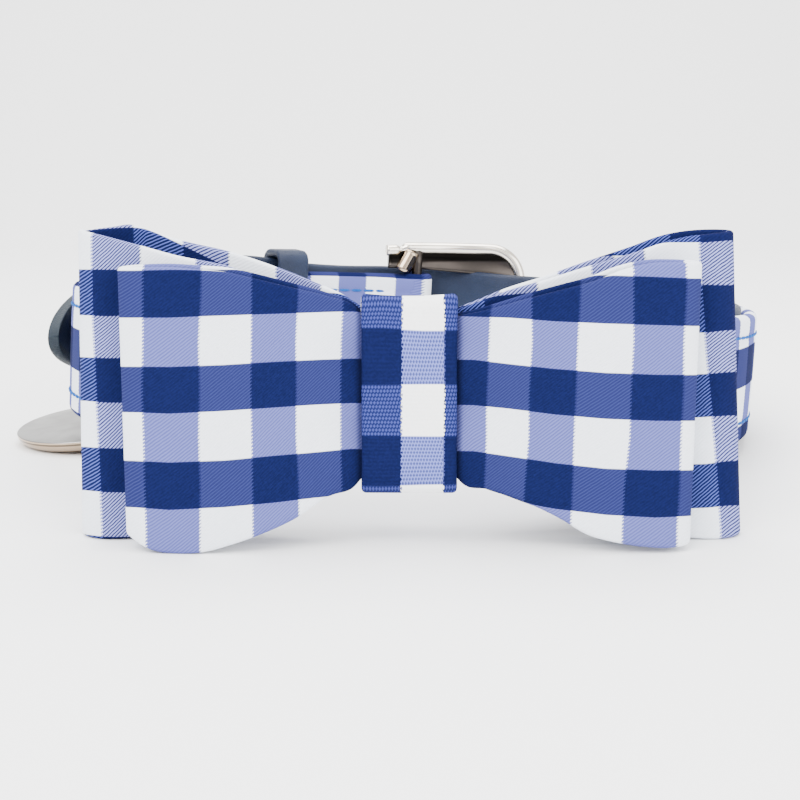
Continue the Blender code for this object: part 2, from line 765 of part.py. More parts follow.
def knot_heights():
    """The knot's lower and upper walls, round the waists of both bows and the band."""
    waists = [edges(0.0, 1, front) for edges in (rear_edges, front_edges) for front in (True, False)]
    band = lower_edge(0.0)
    low = min([foot for foot, _, _ in waists] + [band])
    high = max([top for _, top, _ in waists] + [band + BAND_WIDTH - KNOT_FALL])
    low -= KNOT_SLACK_FOOT + KNOT_CLOTH / 2
    return low, high + KNOT_SLACK_TOP + KNOT_FALL / 2 + KNOT_CLOTH / 2


def make_knot(parts, finish):
    """The strip round both waists and the band, crowned across its width in front."""
    wall = KNOT_CLOTH / 2 + GAP
    reach = np.linspace(0, KNOT_WIDTH / 2, 5)
    front = min(front_edges(x / FRONT_HALF_WIDTH, 1, True)[2] for x in reach) - CLOTH / 2 - wall
    across = np.abs(PLAN_X - BOW_X) < KNOT_WIDTH / 2
    band_back = PLAN_Y[across & (np.abs(TURNS) < 1)].max() + BAND_THICKNESS / 2
    back = band_back - LEAN_BACK * lower_edge(0.0) + wall
    low, high = knot_heights()
    outline = rounded_loop(low, high, front, back, KNOT_CORNER, steps=3)
    grid = []
    for back_place, up in outline:
        facing = max(0.0, 1 - (back_place - front) / (2.5 * KNOT_CORNER))
        inside = min(up - low, high - up) / (high - low)
        swell = KNOT_CROWN * facing * min(1.0, inside * 4)
        if up > (low + high) / 2:
            up -= KNOT_FALL * (back_place - front) / (back - front)
        grid.append([
            on_bow(share * KNOT_WIDTH / 2, back_place - swell * (1 - share * share), up)
            for share in (-1.0, -0.85, -0.4, 0.0, 0.4, 0.85, 1.0)
        ])
    knot = new_object("knot", sheet_mesh("knot", grid, ring=True), parts, finish)
    thicken(knot, KNOT_CLOTH, 0.0004)
    return knot


def turn_outward(item):
    """Points an open or ring surface's faces one way, away from its own middle."""
    if item.type != "MESH":
        return
    shape = bmesh.new()
    shape.from_mesh(item.data)
    bmesh.ops.recalc_face_normals(shape, faces=shape.faces)
    shape.to_mesh(item.data)
    shape.free()


def stand_at_origin(parts, root):
    """Parents every piece to the root, and moves it so that the assembly's box has its bottom
    centre at the origin."""
    bpy.context.view_layer.update()
    graph = bpy.context.evaluated_depsgraph_get()
    low, high = Vector((9, 9, 9)), Vector((-9, -9, -9))
    for item in parts.objects:
        solid = item.evaluated_get(graph)
        mesh = solid.to_mesh()
        for v in mesh.vertices:
            place = solid.matrix_world @ v.co
            low = Vector(map(min, low, place))
            high = Vector(map(max, high, place))
        solid.to_mesh_clear()
    for item in list(parts.objects):
        item.parent = root
    root.location = (-(low.x + high.x) / 2, -(low.y + high.y) / 2, -low.z)


def main():
    clear_scene()
    scene = bpy.context.scene.collection
    parts = bpy.data.collections.new(COLLECTION_NAME)
    cutters = bpy.data.collections.new("cutters")
    scene.children.link(parts)
    scene.children.link(cutters)

    gingham = material("gingham", (0.10, 0.19, 0.52), 0.9)
    cloth = material("band_cloth", (0.20, 0.30, 0.60), 0.9)
    leather = material("navy_leather", (0.06, 0.10, 0.18), 0.55)
    nickel = material("nickel", (0.70, 0.68, 0.65), 0.2, 1.0)

    make_band(parts, cutters, cloth)
    billet = make_billet(parts, cutters, leather)
    punch_billet(billet, cutters)
    make_keeper(parts, leather)
    make_frame(parts, cutters, nickel)
    make_prong(parts, cutters, nickel)
    make_d_ring(parts, nickel)
    make_split_ring(parts, nickel)
    make_disc(parts, cutters, nickel)
    make_bow("rear_bow", REAR_HALF_WIDTH, rear_edges, REAR_FLARE_SHARES, parts, gingham)
    make_bow("front_bow", FRONT_HALF_WIDTH, front_edges, FRONT_FLARE_SHARES, parts, gingham)
    make_knot(parts, gingham)
    for item in parts.objects:
        turn_outward(item)

    root = bpy.data.objects.new("root", None)
    scene.objects.link(root)
    stand_at_origin(parts, root)
    for item in cutters.objects:
        if not item.parent:
            item.parent = root


main()
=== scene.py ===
# %% [markdown]
# # Gingham bow tie collar
# The looks of a pet collar: two stacked cloth bows under a knot, on a cloth-covered band with a
# leather tail, a nickel buckle and a bare disc. Lengths in this script are in millimetres, with x to
# the right, y away from the camera and z up, until `to_metres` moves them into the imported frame.

import math

import bmesh
import bpy
import numpy as np
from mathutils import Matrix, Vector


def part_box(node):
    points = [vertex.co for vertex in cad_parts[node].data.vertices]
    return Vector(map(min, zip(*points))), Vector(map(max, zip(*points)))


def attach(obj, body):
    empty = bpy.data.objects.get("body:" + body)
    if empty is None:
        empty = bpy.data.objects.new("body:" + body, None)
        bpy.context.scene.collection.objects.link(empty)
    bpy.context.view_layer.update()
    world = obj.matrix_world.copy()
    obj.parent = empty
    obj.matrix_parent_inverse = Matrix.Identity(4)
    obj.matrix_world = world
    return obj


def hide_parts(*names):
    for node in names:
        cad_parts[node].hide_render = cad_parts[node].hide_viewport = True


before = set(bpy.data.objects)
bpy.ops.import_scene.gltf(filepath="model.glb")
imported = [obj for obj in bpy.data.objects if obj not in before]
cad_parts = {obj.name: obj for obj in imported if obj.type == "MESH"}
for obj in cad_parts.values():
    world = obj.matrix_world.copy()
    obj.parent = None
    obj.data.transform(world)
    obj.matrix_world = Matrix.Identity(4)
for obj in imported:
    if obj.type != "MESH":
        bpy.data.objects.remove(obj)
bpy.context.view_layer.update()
print("CAD nodes:", sorted(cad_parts))

# %% [markdown]
# ## Where things are
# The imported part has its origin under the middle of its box. The knot's middle, the front bow's
# front and the rear bow's lowest point give the shift from the lengths used here.

# %% Shift into the frame
BOW_X = 1.4
LEAN_BACK, LEAN_RIGHT = 0.075, 0.055
knot_low, knot_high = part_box("knot")
bow_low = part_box("front_bow")[0]
SHIFT = np.array([
    500 * (knot_low.x + knot_high.x) - BOW_X,
    1000 * bow_low.y + 0.17,
    1000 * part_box("rear_bow")[0].z - 0.1,
])
print("shift in mm:", SHIFT.round(2))


def to_metres(points):
    """Points in mm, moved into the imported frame."""
    return (np.asarray(points, float) + SHIFT) / 1000


def col(rows, columns, name):
    """One named column of a short table."""
    return np.array([row[columns.index(name)] for row in rows], float)


def eased(x, places, values):
    """A smooth curve through a table's points: cubic pieces with the chords' slopes."""
    places, values = np.asarray(places, float), np.asarray(values, float)
    x = np.clip(np.asarray(x, float), places[0], places[-1])
    slope = np.gradient(values, places)
    i = np.clip(np.searchsorted(places, x) - 1, 0, len(places) - 2)
    width = places[i + 1] - places[i]
    u = (x - places[i]) / width
    return (
        (1 + 2 * u) * (1 - u) ** 2 * values[i] + u * (1 - u) ** 2 * width * slope[i]
        + u**2 * (3 - 2 * u) * values[i + 1] - u**2 * (1 - u) * width * slope[i + 1]
    )


def smooth(x, low=0.0, high=1.0):
    """A smooth step from 0 at low to 1 at high."""
    x = np.clip((np.asarray(x, float) - low) / (high - low), 0, 1)
    return x * x * (3 - 2 * x)


# %% [markdown]
# ## Camera
# The camera stands 220 mm in front of the bow and 68 mm up, and looks 11 degrees down.

# %% Camera
CAMERA_AT = np.array([0.0, -220.0, 67.9])
LOOK_DOWN, FOCAL_PIXELS, IMAGE, SENSOR = 11.14, 1468.0, 800, 36.0
scene = bpy.context.scene
camera_data = bpy.data.cameras.new("camera")
camera_data.sensor_width = SENSOR
camera_data.lens = FOCAL_PIXELS * SENSOR / IMAGE
camera_data.clip_start = 0.01
camera = bpy.data.objects.new("camera", camera_data)
scene.collection.objects.link(camera)
camera.location = to_metres(CAMERA_AT)
camera.rotation_euler = (math.radians(90 - LOOK_DOWN), 0, 0)
scene.camera = camera
print("lens:", round(camera_data.lens, 2), "mm")


def seen(points):
    """Where points in mm land in the picture, in pixels across and down."""
    way = np.asarray(points, float) - CAMERA_AT
    down = math.radians(LOOK_DOWN)
    depth = way[..., 1] * math.cos(down) - way[..., 2] * math.sin(down)
    rise = way[..., 1] * math.sin(down) + way[..., 2] * math.cos(down)
    return IMAGE / 2 + FOCAL_PIXELS * way[..., 0] / depth, IMAGE / 2 - FOCAL_PIXELS * rise / depth


def border_count(value, borders, first, step=1):
    """Band numbers at value. The first border has the number first and each next one step more.
    Beyond the last borders the bands keep the nearest band's width."""
    borders = np.asarray(borders, float)
    counts = first + step * np.arange(len(borders))
    start, end = borders[1] - borders[0], borders[-1] - borders[-2]
    made = np.interp(value, borders, counts)
    made = np.where(value < borders[0], first + step * (value - borders[0]) / start, made)
    return np.where(value > borders[-1], counts[-1] + step * (value - borders[-1]) / end, made)


def band_count(value, line, table, first, step):
    """Band numbers from a table that maps places on one picture axis to the borders met on the
    other, with a straight blend between the places."""
    lines = np.array(sorted(table), float)
    made = np.stack([border_count(value, table[key], first, step) for key in sorted(table)], axis=-1)
    at = np.interp(line, lines, np.arange(len(lines)))
    low = np.clip(at.astype(int), 0, len(lines) - 2)
    share = at - low
    pick = np.take_along_axis(made, low[..., None], -1)[..., 0]
    after = np.take_along_axis(made, low[..., None] + 1, -1)[..., 0]
    return pick * (1 - share) + after * share


# %% [markdown]
# ## Making meshes
# Every surface is a grid of points worked out with numpy. A cloth piece has a UV in bands of its
# check: whole numbers are the borders of the bands.


# %% Mesh helpers
def grid_object(name, points, uv=None, wrap=(False, False), attributes=None):
    """A mesh through an (n, m) grid of points in mm, smooth shaded, with a UV and float attributes
    given for the same grid. wrap joins the last row or column to the first."""
    n, m = points.shape[:2]
    rows = np.arange(n if wrap[0] else n - 1)
    columns = np.arange(m if wrap[1] else m - 1)
    i, j = np.meshgrid(rows, columns, indexing="ij")
    i2, j2 = (i + 1) % n, (j + 1) % m
    quads = np.stack([i * m + j, i2 * m + j, i2 * m + j2, i * m + j2], axis=-1).reshape(-1, 4)
    return mesh_object(name, points.reshape(-1, 3), quads, uv, attributes)


def reshaped(mesh, change=None):
    """Makes a change to a mesh, if one is given, and turns its faces outward."""
    shape = bmesh.new()
    shape.from_mesh(mesh)
    if change is not None:
        change(shape)
    bmesh.ops.recalc_face_normals(shape, faces=shape.faces)
    shape.to_mesh(mesh)
    shape.free()


def mesh_object(name, points, faces, uv=None, attributes=None):
    """A smooth shaded object from points in mm and faces."""
    mesh = bpy.data.meshes.new(name)
    mesh.from_pydata(to_metres(points).tolist(), [], np.asarray(faces).tolist())
    if uv is not None:
        layer = mesh.uv_layers.new(name="bands")
        corner = np.zeros(len(mesh.loops), int)
        mesh.loops.foreach_get("vertex_index", corner)
        layer.data.foreach_set("uv", uv.reshape(-1, 2)[corner].astype(np.float32).ravel())
    for key, values in (attributes or {}).items():
        made = mesh.attributes.new(key, "FLOAT", "POINT")
        made.data.foreach_set("value", values.ravel().astype(np.float32))
    mesh.polygons.foreach_set("use_smooth", [True] * len(mesh.polygons))
    reshaped(mesh)
    made = bpy.data.objects.new(name, mesh)
    scene.collection.objects.link(made)
    return made


def normals(points, wrap=False):
    """Unit normals of a grid."""
    if wrap:
        along = np.roll(points, -1, 0) - np.roll(points, 1, 0)
    else:
        along = np.gradient(points, axis=0)
    across = np.gradient(points, axis=1)
    made = np.cross(along, across)
    return made / np.maximum(np.linalg.norm(made, axis=-1, keepdims=True), 1e-9)


def cloth(name, middle, uv, wall, wrap, rim_steps=5):
    """A cloth wall round a middle surface (n around, m up): its outer face, a round upper edge, its
    inner face and a round lower edge. The middle surface stops half a wall short of the edges."""
    half = wall / 2
    out = normals(middle, wrap)
    up = np.gradient(middle, axis=1)
    up /= np.maximum(np.linalg.norm(up, axis=-1, keepdims=True), 1e-9)
    outer, inner = middle + out * half, middle - out * half
    turns = np.linspace(0, math.pi, rim_steps + 2)[1:-1]
    top = [middle[:, -1] + half * (math.cos(t) * out[:, -1] + math.sin(t) * up[:, -1]) for t in turns]
    foot = [middle[:, 0] - half * (math.cos(t) * out[:, 0] + math.sin(t) * up[:, 0]) for t in turns]
    points = np.concatenate([outer, np.stack(top, 1), inner[:, ::-1], np.stack(foot, 1)], axis=1)
    over = half * (math.pi / 2 - np.abs(turns - math.pi / 2))[None, :, None]
    rim_uv = []
    for edge, next_in in ((-1, -2), (0, 1)):
        gap = np.linalg.norm(middle[:, edge] - middle[:, next_in], axis=-1)[:, None, None]
        rate = (uv[:, edge] - uv[:, next_in])[:, None] / gap
        rim_uv.append(uv[:, edge][:, None] + rate * over)
    all_uv = np.concatenate([uv, rim_uv[0], uv[:, ::-1], rim_uv[1]], axis=1)
    if wrap:
        points = np.concatenate([points, points[:1]])
        all_uv = np.concatenate([all_uv, 2 * all_uv[-1:] - all_uv[-2:-1]])
    made = grid_object(name, points, all_uv, (False, True))
    (weld if wrap else cap_ends)(made)
    return made


def weld(item):
    """Joins the first and last rows of a closed loop."""
    reshaped(item.data, lambda shape: bmesh.ops.remove_doubles(shape, verts=shape.verts, dist=1e-7))


def cap_ends(item):
    """Closes the open ends of a tube-like mesh."""
    reshaped(item.data, lambda shape: bmesh.ops.holes_fill(
        shape, edges=[e for e in shape.edges if e.is_boundary],
    ))


def rounded_box(corners, radius, first_turn, quarter):
    """A box's outline with rounded corners, as (n, 2). first_turn has the degrees at the first
    corner, and each next corner is turned by quarter more."""
    corners = np.array(corners, float)
    centres = corners + radius * np.sign(corners.mean(axis=0) - corners)
    angles = [np.radians(first_turn + quarter * k) for k in range(len(corners))]
    return np.concatenate([
        centre + radius * np.stack([np.cos(a), np.sin(a)], axis=-1)
        for centre, a in zip(centres, angles)
    ])


def dress(material, *items):
    for item in items:
        item.data.materials.append(material)


def tube(name, path, radii, closed=False, sides=20, up=(0, 0, 1)):
    """A round bar along a path in mm; radii has one radius for each point."""
    path, radii = np.asarray(path, float), np.asarray(radii, float)
    ahead = np.roll(path, -1, 0) - np.roll(path, 1, 0) if closed else np.gradient(path, axis=0)
    ahead /= np.linalg.norm(ahead, axis=1, keepdims=True)
    first = np.cross(ahead[0], up)
    if np.linalg.norm(first) < 0.1:
        first = np.cross(ahead[0], (1, 0, 0))
    frames = [first / np.linalg.norm(first)]
    for a in ahead[1:]:
        turned = frames[-1] - a * (frames[-1] @ a)
        frames.append(turned / np.linalg.norm(turned))
    one = np.array(frames)
    two = np.cross(ahead, one)
    turn = np.linspace(0, 2 * math.pi, sides, endpoint=False)
    ring = one[:, None] * np.cos(turn)[None, :, None] + two[:, None] * np.sin(turn)[None, :, None]
    made = grid_object(name, path[:, None] + ring * radii[:, None, None], wrap=(closed, True))
    if not closed:
        cap_ends(made)
    return made


print("mesh helpers ready")

# %% [markdown]
# ## The collar's loop
# The band's middle line is an oval, wider behind its middle, turned a little, with its height
# above the table falling to the back and to the right: `collar(along, out, up)` gives a point.
# `along` is 0 in front under the bow, and HEEL is where the buckle's bar stands.

# %% Collar loop
LOOP_A, LOOP_B, LOOP_EGG, LOOP_TURN, LOOP_X, LOOP_Y = 68.0, 63.3, 0.12, 8.0, 4.1, 14.4
BAND_WIDTH, BAND_WALL = 25.4, 3.0
GAP = 0.3
turns = np.linspace(-1.5 * math.pi, 1.5 * math.pi, 6001)


def plan(turn):
    """The loop's oval seen from above."""
    x = LOOP_X + LOOP_A * np.sin(turn) * (1 - LOOP_EGG * np.cos(turn))
    y = LOOP_Y + LOOP_B - LOOP_B * np.cos(turn) + LOOP_TURN * np.sin(turn)
    return x, y


plan_x, plan_y = plan(turns)
lengths = np.concatenate([[0], np.cumsum(np.hypot(np.diff(plan_x), np.diff(plan_y)))])
lengths -= np.interp(0, turns, lengths)
LOOP = float(np.interp(math.pi, turns, lengths) - np.interp(-math.pi, turns, lengths))


def at_angle(degrees):
    """The distance along the loop at an angle from its front."""
    return float(np.interp(math.radians(degrees), turns, lengths))


def lower_edge(turn):
    """How high the band's lower edge stands above the table."""
    return 6.10 + 4.15 * np.cos(turn) - 4.0 * np.sin(turn) + 0.75 * np.cos(2 * turn)


def collar(along, out, up):
    """Points of the collar in mm, from arrays that broadcast together."""
    along, out, up = np.broadcast_arrays(along, out, up)
    turn = np.interp(along, lengths, turns)
    x, y = plan(turn)
    x2, y2 = plan(turn + 1e-4)
    size = np.hypot(x2 - x, y2 - y)
    return np.stack([
        x + out * (y2 - y) / size + up * LEAN_RIGHT,
        y - out * (x2 - x) / size + up * LEAN_BACK,
        lower_edge(turn) + up,
    ], axis=-1)


behind = turns > 2.5
HEEL_X = 2.7
HEEL = float(np.interp(-HEEL_X, -plan_x[behind], lengths[behind]))
print("loop:", round(LOOP, 1), "mm round")

# %% [markdown]
# ## Materials
# `Socket` lets node maths be written as sums and products. The twill decides which of them lies on
# top, so the mixed squares come out striped as they do in the real cloth.


# %% Node helper
class Socket:
    def __init__(self, nodes, out):
        self.nodes, self.out = nodes, out

    def math(self, operation, *others):
        return self.nodes.add("ShaderNodeMath", [self, *others], operation=operation)

    def __add__(self, other):
        return self.math("ADD", other)

    def __sub__(self, other):
        return self.math("SUBTRACT", other)

    def __rsub__(self, other):
        return (self * -1) + other

    def __mul__(self, other):
        return self.math("MULTIPLY", other)

    __radd__, __rmul__ = __add__, __mul__


class Nodes:
    """The node tree of one material, with a Principled shader."""

    def __init__(self, name, roughness=0.5, metallic=0.0, **uniform):
        self.material = bpy.data.materials.new(name)
        self.material.use_nodes = True
        self.tree = self.material.node_tree
        self.shader = self.tree.nodes["Principled BSDF"]
        self.shader.inputs["Roughness"].default_value = roughness
        self.shader.inputs["Metallic"].default_value = metallic
        for key, value in uniform.items():
            self.shader.inputs[key.replace("_", " ")].default_value = value

    def add(self, kind, inputs=(), output=0, **settings):
        """Adds any node; inputs is a list by place or a dict by name."""
        node = self.tree.nodes.new(kind)
        for key, value in settings.items():
            setattr(node, key, value)
        pairs = inputs.items() if isinstance(inputs, dict) else enumerate(inputs)
        for key, value in pairs:
            if isinstance(value, Socket):
                self.tree.links.new(value.out, node.inputs[key])
            elif value is not None:
                node.inputs[key].default_value = value
        return Socket(self, node.outputs[output])

    def mix(self, factor, a, b):
        node = self.tree.nodes.new("ShaderNodeMix")
        node.data_type = "RGBA"
        for key, value in ((0, factor), (6, a), (7, b)):
            if isinstance(value, Socket):
                self.tree.links.new(value.out, node.inputs[key])
            else:
                node.inputs[key].default_value = value
        return Socket(self, node.outputs[2])

    def split(self, vector):
        node = self.tree.nodes.new("ShaderNodeSeparateXYZ")
        self.tree.links.new(vector.out, node.inputs[0])
        return [Socket(self, node.outputs[k]) for k in range(3)]

    def band(self, value, low, high):
        """0 below low, 1 above high, and a smooth step between."""
        return self.add(
            "ShaderNodeMapRange", [value, low, high, 0.0, 1.0], interpolation_type="SMOOTHSTEP",
        )

    def noise(self, scale, detail=2.0, vector=None):
        if vector is None:
            vector = self.add("ShaderNodeTexCoord", output=3)
        return self.add("ShaderNodeTexNoise", {"Vector": vector, "Scale": scale, "Detail": detail})

    def bump(self, height, distance, strength=1.0):
        normal = self.add(
            "ShaderNodeBump", {"Height": height, "Distance": distance, "Strength": strength},
        )
        self.tree.links.new(normal.out, self.shader.inputs["Normal"])

    def feed(self, **sockets):
        for key, value in sockets.items():
            self.tree.links.new(value.out, self.shader.inputs[key.replace("_", " ")])
        return self.material


def rgb(red, green, blue):
    """A colour from screen values of 0 to 255, as the linear values that nodes want."""
    values = [v / 255 for v in (red, green, blue)]
    return tuple(v / 12.92 if v < 0.04 else ((v + 0.055) / 1.055) ** 2.4 for v in values) + (1.0,)


def scaled(colour, share):
    return tuple(share * c for c in colour[:3]) + (1.0,)


print("node helper ready")

# %% Gingham
BLUE, WHITE = rgb(15, 20, 58), rgb(228, 233, 242)
CRISP = (rgb(19, 26, 62), rgb(75, 86, 160), rgb(138, 143, 202), rgb(38, 42, 82))
SOFT = (rgb(34, 38, 83), rgb(44, 50, 98), rgb(94, 98, 158), rgb(74, 79, 136))
FLECKED = (rgb(26, 32, 74), rgb(56, 63, 128), rgb(106, 115, 186), rgb(62, 69, 122))


def gingham(name, across_twills, up_twills, tones=CRISP, lead="row", white=WHITE, knot_shade_x=None):
    """Check cloth. UV x and y count bands; across_twills and up_twills are the twill lines in one
    band. The lead yarns cover two thirds of the face. The tones are those of the mixed squares:
    a blue lead yarn and the white between, then a white lead yarn and the blue between."""
    nodes = Nodes(name, roughness=0.9, Specular_IOR_Level=0.04)
    uv = nodes.add("ShaderNodeUVMap", uv_map="bands")
    u, v, _ = nodes.split(uv)
    wave = nodes.noise(900.0, 2.0) - 0.5
    phase_u = u * across_twills + wave * 0.22
    line = v * up_twills
    if lead == "column":
        step = line.math("FLOOR")
        phase = (phase_u - step * 0.3333).math("FRACT")
        within = line.math("FRACT") - 0.5
        away = (phase - 0.5).math("ABSOLUTE") + within.math("ABSOLUTE") * 0.9
        on_top = nodes.band(away, 0.52, 0.36) * -1 + 1
        loose = on_top
        height = within.math("ABSOLUTE") * -3.0 + 0.4
    else:
        phase = (phase_u - line + wave * 0.2).math("FRACT")
        on_top = nodes.band(phase, 0.0, 0.14) * nodes.band(phase, 0.80, 0.64)
        loose = nodes.band(phase, 0.0, 0.14) * nodes.band(phase, 0.66, 0.50)
        height = (phase * (2 * math.pi)).math("SINE")
    notch = on_top * 0.034 - 0.017

    def is_blue(count):
        place = (count * 0.5).math("FRACT")
        return nodes.band(place, 0.507, 0.493) * nodes.band(place, 0.0, 0.007)

    columns, rows = is_blue(u + notch), is_blue(v)
    first, other = (columns, rows) if lead == "column" else (rows, columns)
    dark = nodes.mix(on_top, tones[1], tones[0])
    light = nodes.mix(loose, tones[3], tones[2])
    speck = nodes.noise(2600.0, 3.0)
    # Random specks, and painted shade: blue and white yarns are darkened where the twill's height is low.
    specks_and_groove_shade = nodes.band(speck + height * 0.12, 0.25, 0.75)
    blue = nodes.mix(specks_and_groove_shade, scaled(BLUE, 0.82), scaled(BLUE, 1.2))
    plain = nodes.mix(nodes.band(speck - height * 0.1, 0.3, 0.85), white, scaled(white, 0.93))
    tone = nodes.mix(first, nodes.mix(other, plain, light), nodes.mix(other, dark, blue))
    # Painted shade: a narrow strip on each side of the knot, where the wings fold into it, is darkened towards
    # navy.
    if knot_shade_x is not None:
        x, _, _ = nodes.split(nodes.add("ShaderNodeTexCoord", output=3))
        painted_crease_shade = nodes.band((x - knot_shade_x).math("ABSOLUTE"), 0.0086, 0.0077)
        tone = nodes.mix(painted_crease_shade * 0.5, tone, rgb(12, 14, 36))
    nodes.bump(height * 0.5 + speck * 0.35, 0.00005, 0.6)
    return nodes.feed(Base_Color=tone)


# The front bow gets painted shade beside the knot.
cloth_front = gingham("gingham_front", 11.5, 13.5, SOFT, knot_shade_x=(BOW_X + 0.05 + SHIFT[0]) / 1000)
cloth_rear = gingham("gingham_rear", 12.5, 12.5)
cloth_knot = gingham("gingham_knot", 14.0, 13.0, FLECKED, "column", rgb(246, 247, 248))
cloth_band = gingham("gingham_band", 10.0, 12.0, SOFT)
print("cloths:", [m.name for m in (cloth_front, cloth_rear, cloth_knot, cloth_band)])


# %% Leather, thread and metal
def leather(name, colour, light, rim_colour):
    """Grained leather. The attribute rim marks its paler edge."""
    nodes = Nodes(name, roughness=0.5, Specular_IOR_Level=0.28)
    grain = nodes.add(
        "ShaderNodeTexVoronoi",
        {"Vector": nodes.add("ShaderNodeTexCoord", output=3), "Scale": 1700.0},
        feature="DISTANCE_TO_EDGE",
    )
    cells = nodes.band(grain, 0.0, 0.12)
    patch = nodes.noise(60.0, 3.0)
    base = nodes.mix(nodes.band(patch, 0.35, 0.7) * 0.6, colour, light)
    base = nodes.mix((1 - cells) * 0.35, base, scaled(colour, 0.5))
    rim = nodes.add("ShaderNodeAttribute", attribute_name="rim", output=2)
    base = nodes.mix(nodes.band(rim, 0.35, 0.85), base, rim_colour)
    nodes.bump(cells * 0.6 + nodes.noise(500.0, 3.0) * 0.4, 0.00012, 0.6)
    return nodes.feed(Base_Color=base, Roughness=patch * 0.2 + 0.42)


tail_leather = leather("navy_leather", rgb(15, 26, 48), rgb(28, 42, 68), rgb(24, 35, 44))
nodes = Nodes("thread", roughness=0.7, Specular_IOR_Level=0.1)
ply = nodes.noise(3000.0, 1.0)
nodes.bump(ply, 0.00005, 0.6)
thread = nodes.feed(Base_Color=nodes.mix(nodes.band(ply, 0.3, 0.7), rgb(8, 62, 132), rgb(28, 90, 160)))


def metal(name, colour, dull, roughness, brush):
    """Brushed metal. The attribute rim marks what lies in shade."""
    nodes = Nodes(name, metallic=1.0, roughness=roughness)
    place = nodes.add("ShaderNodeTexCoord", output=3)
    cloud = nodes.noise(220.0, 4.0, place)
    long_way = nodes.add("ShaderNodeMapping", {"Vector": place, "Scale": (200.0, 2600.0, 2600.0)})
    scratch = nodes.noise(1.0, 2.0, long_way)
    nodes.bump(scratch, 0.00002, brush)
    tone = nodes.mix(nodes.band(cloud, 0.35, 0.75) * 0.5, colour, dull)
    # Painted shade and painted dark reflection: where the rim attribute is 1 the colour turns near black.
    rim = nodes.add("ShaderNodeAttribute", attribute_name="rim", output=2)
    tone = nodes.mix(nodes.band(rim, 0.2, 0.8), tone, rgb(16, 14, 13))
    return nodes.feed(Base_Color=tone, Roughness=nodes.band(cloud, 0.3, 0.8) * 0.1 + roughness)


nickel = metal("nickel", rgb(232, 224, 212), rgb(206, 198, 186), 0.14, 0.15)
# Painted shade: a dark copy of the nickel for the heel bar and the frame's recessed side, which lie in shade
# and reflect the dark collar.
nickel_painted_shade = metal("nickel_painted_shade", rgb(64, 59, 56), rgb(48, 45, 43), 0.3, 0.4)
# Painted reflection: a beige copy of the nickel that stands in for the warm floor reflected in the disc's
# polished side and the buckle's neck.
nickel_painted_floor_reflection = metal("nickel_painted_floor_reflection", rgb(178, 158, 136), rgb(150, 134, 116), 0.12, 0.1)
# A satin copy of the nickel for the disc's top face: its rougher finish is real, and its darker grey colour is
# a painted reflection of grey surroundings.
nickel_satin_painted_grey = metal("nickel_satin_painted_grey", rgb(150, 149, 147), rgb(138, 137, 135), 0.34, 0.5)
print("leather, thread and metals ready")

# %% [markdown]
# ## The bows
# A bow is a closed loop of cloth. Each table row is a place along it: its upper edges, its lower
# edge, how far back its middle lies and how far apart its two layers are. Heights are in mm.

# %% Bow tables
REAR_HALF, FRONT_HALF, FOLD = 52.5, 44.2, 0.90
BOW_WALL, FRONT_WAIST = 1.2, 5.0
REAR_COLUMNS = ("share", "front_left", "back_left", "right", "foot", "back", "opening")
REAR_ROWS = (
    (0.00, 36.6, 36.6, 36.6, 11.6, 9.45, 1.50),
    (0.14, 36.9, 37.2, 36.9, 11.2, 9.50, 1.55),
    (0.19, 38.1, 38.8, 37.8, 9.2, 9.62, 1.90),
    (0.30, 39.5, 41.2, 39.9, 6.9, 10.2, 3.2),
    (0.42, 41.5, 43.5, 41.7, 4.6, 10.7, 4.4),
    (0.55, 43.9, 45.5, 43.8, 2.6, 11.5, 6.2),
    (0.70, 45.5, 47.1, 46.1, 1.1, 12.3, 7.9),
    (0.82, 47.2, 48.9, 48.1, 0.4, 12.8, 8.8),
    (0.87, 47.9, 49.7, 48.6, 0.2, 12.7, 8.7),
    (0.92, 48.6, 49.4, 48.9, 0.1, 12.5, 8.4),
    (1.00, 49.4, 49.0, 49.2, 0.1, 12.0, 7.9),
)
FRONT_COLUMNS = ("share", "left", "right", "foot_left", "foot_right", "back", "opening")
FRONT_ROWS = (
    (0.00, 36.8, 36.6, 11.3, 11.3, 5.95, 1.90),
    (0.165, 37.0, 36.6, 11.2, 11.3, 5.92, 1.97),
    (0.20, 38.4, 36.9, 9.6, 9.9, 5.55, 2.6),
    (0.28, 39.8, 37.9, 8.6, 9.6, 4.6, 3.9),
    (0.41, 41.4, 39.7, 5.2, 8.0, 3.85, 5.1),
    (0.54, 42.9, 41.3, 2.8, 5.5, 3.4, 5.8),
    (0.63, 43.8, 42.4, 1.5, 3.2, 3.2, 5.8),
    (0.73, 44.2, 44.1, 0.3, 1.9, 3.15, 5.5),
    (0.83, 44.5, 45.1, 0.0, 1.1, 3.15, 4.9),
    (0.92, 44.45, 45.2, 0.6, 0.8, 3.15, 4.6),
    (1.00, 44.3, 45.1, 2.4, 0.9, 3.2, 4.5),
)


def bow_walk(count=150, bend=14):
    """Share, side and layer of each station round a bow, starting under the knot in front."""
    flat = np.linspace(0, FOLD, count)
    fold = FOLD + (1 - FOLD) * np.sin(np.linspace(0, math.pi / 2, bend + 1)[1:])
    half = np.concatenate([flat, fold])
    share = np.concatenate([half, half[-2:0:-1], half, half[-2:0:-1]])
    n = len(half)
    side = np.concatenate([np.ones(2 * n - 2), -np.ones(2 * n - 2)])
    front = np.concatenate([np.ones(n), np.zeros(n - 2), np.zeros(n), np.ones(n - 2)]).astype(bool)
    turned = np.sqrt(1 - np.clip((share - FOLD) / (1 - FOLD), 0, 1) ** 2)
    return share, side, front, turned


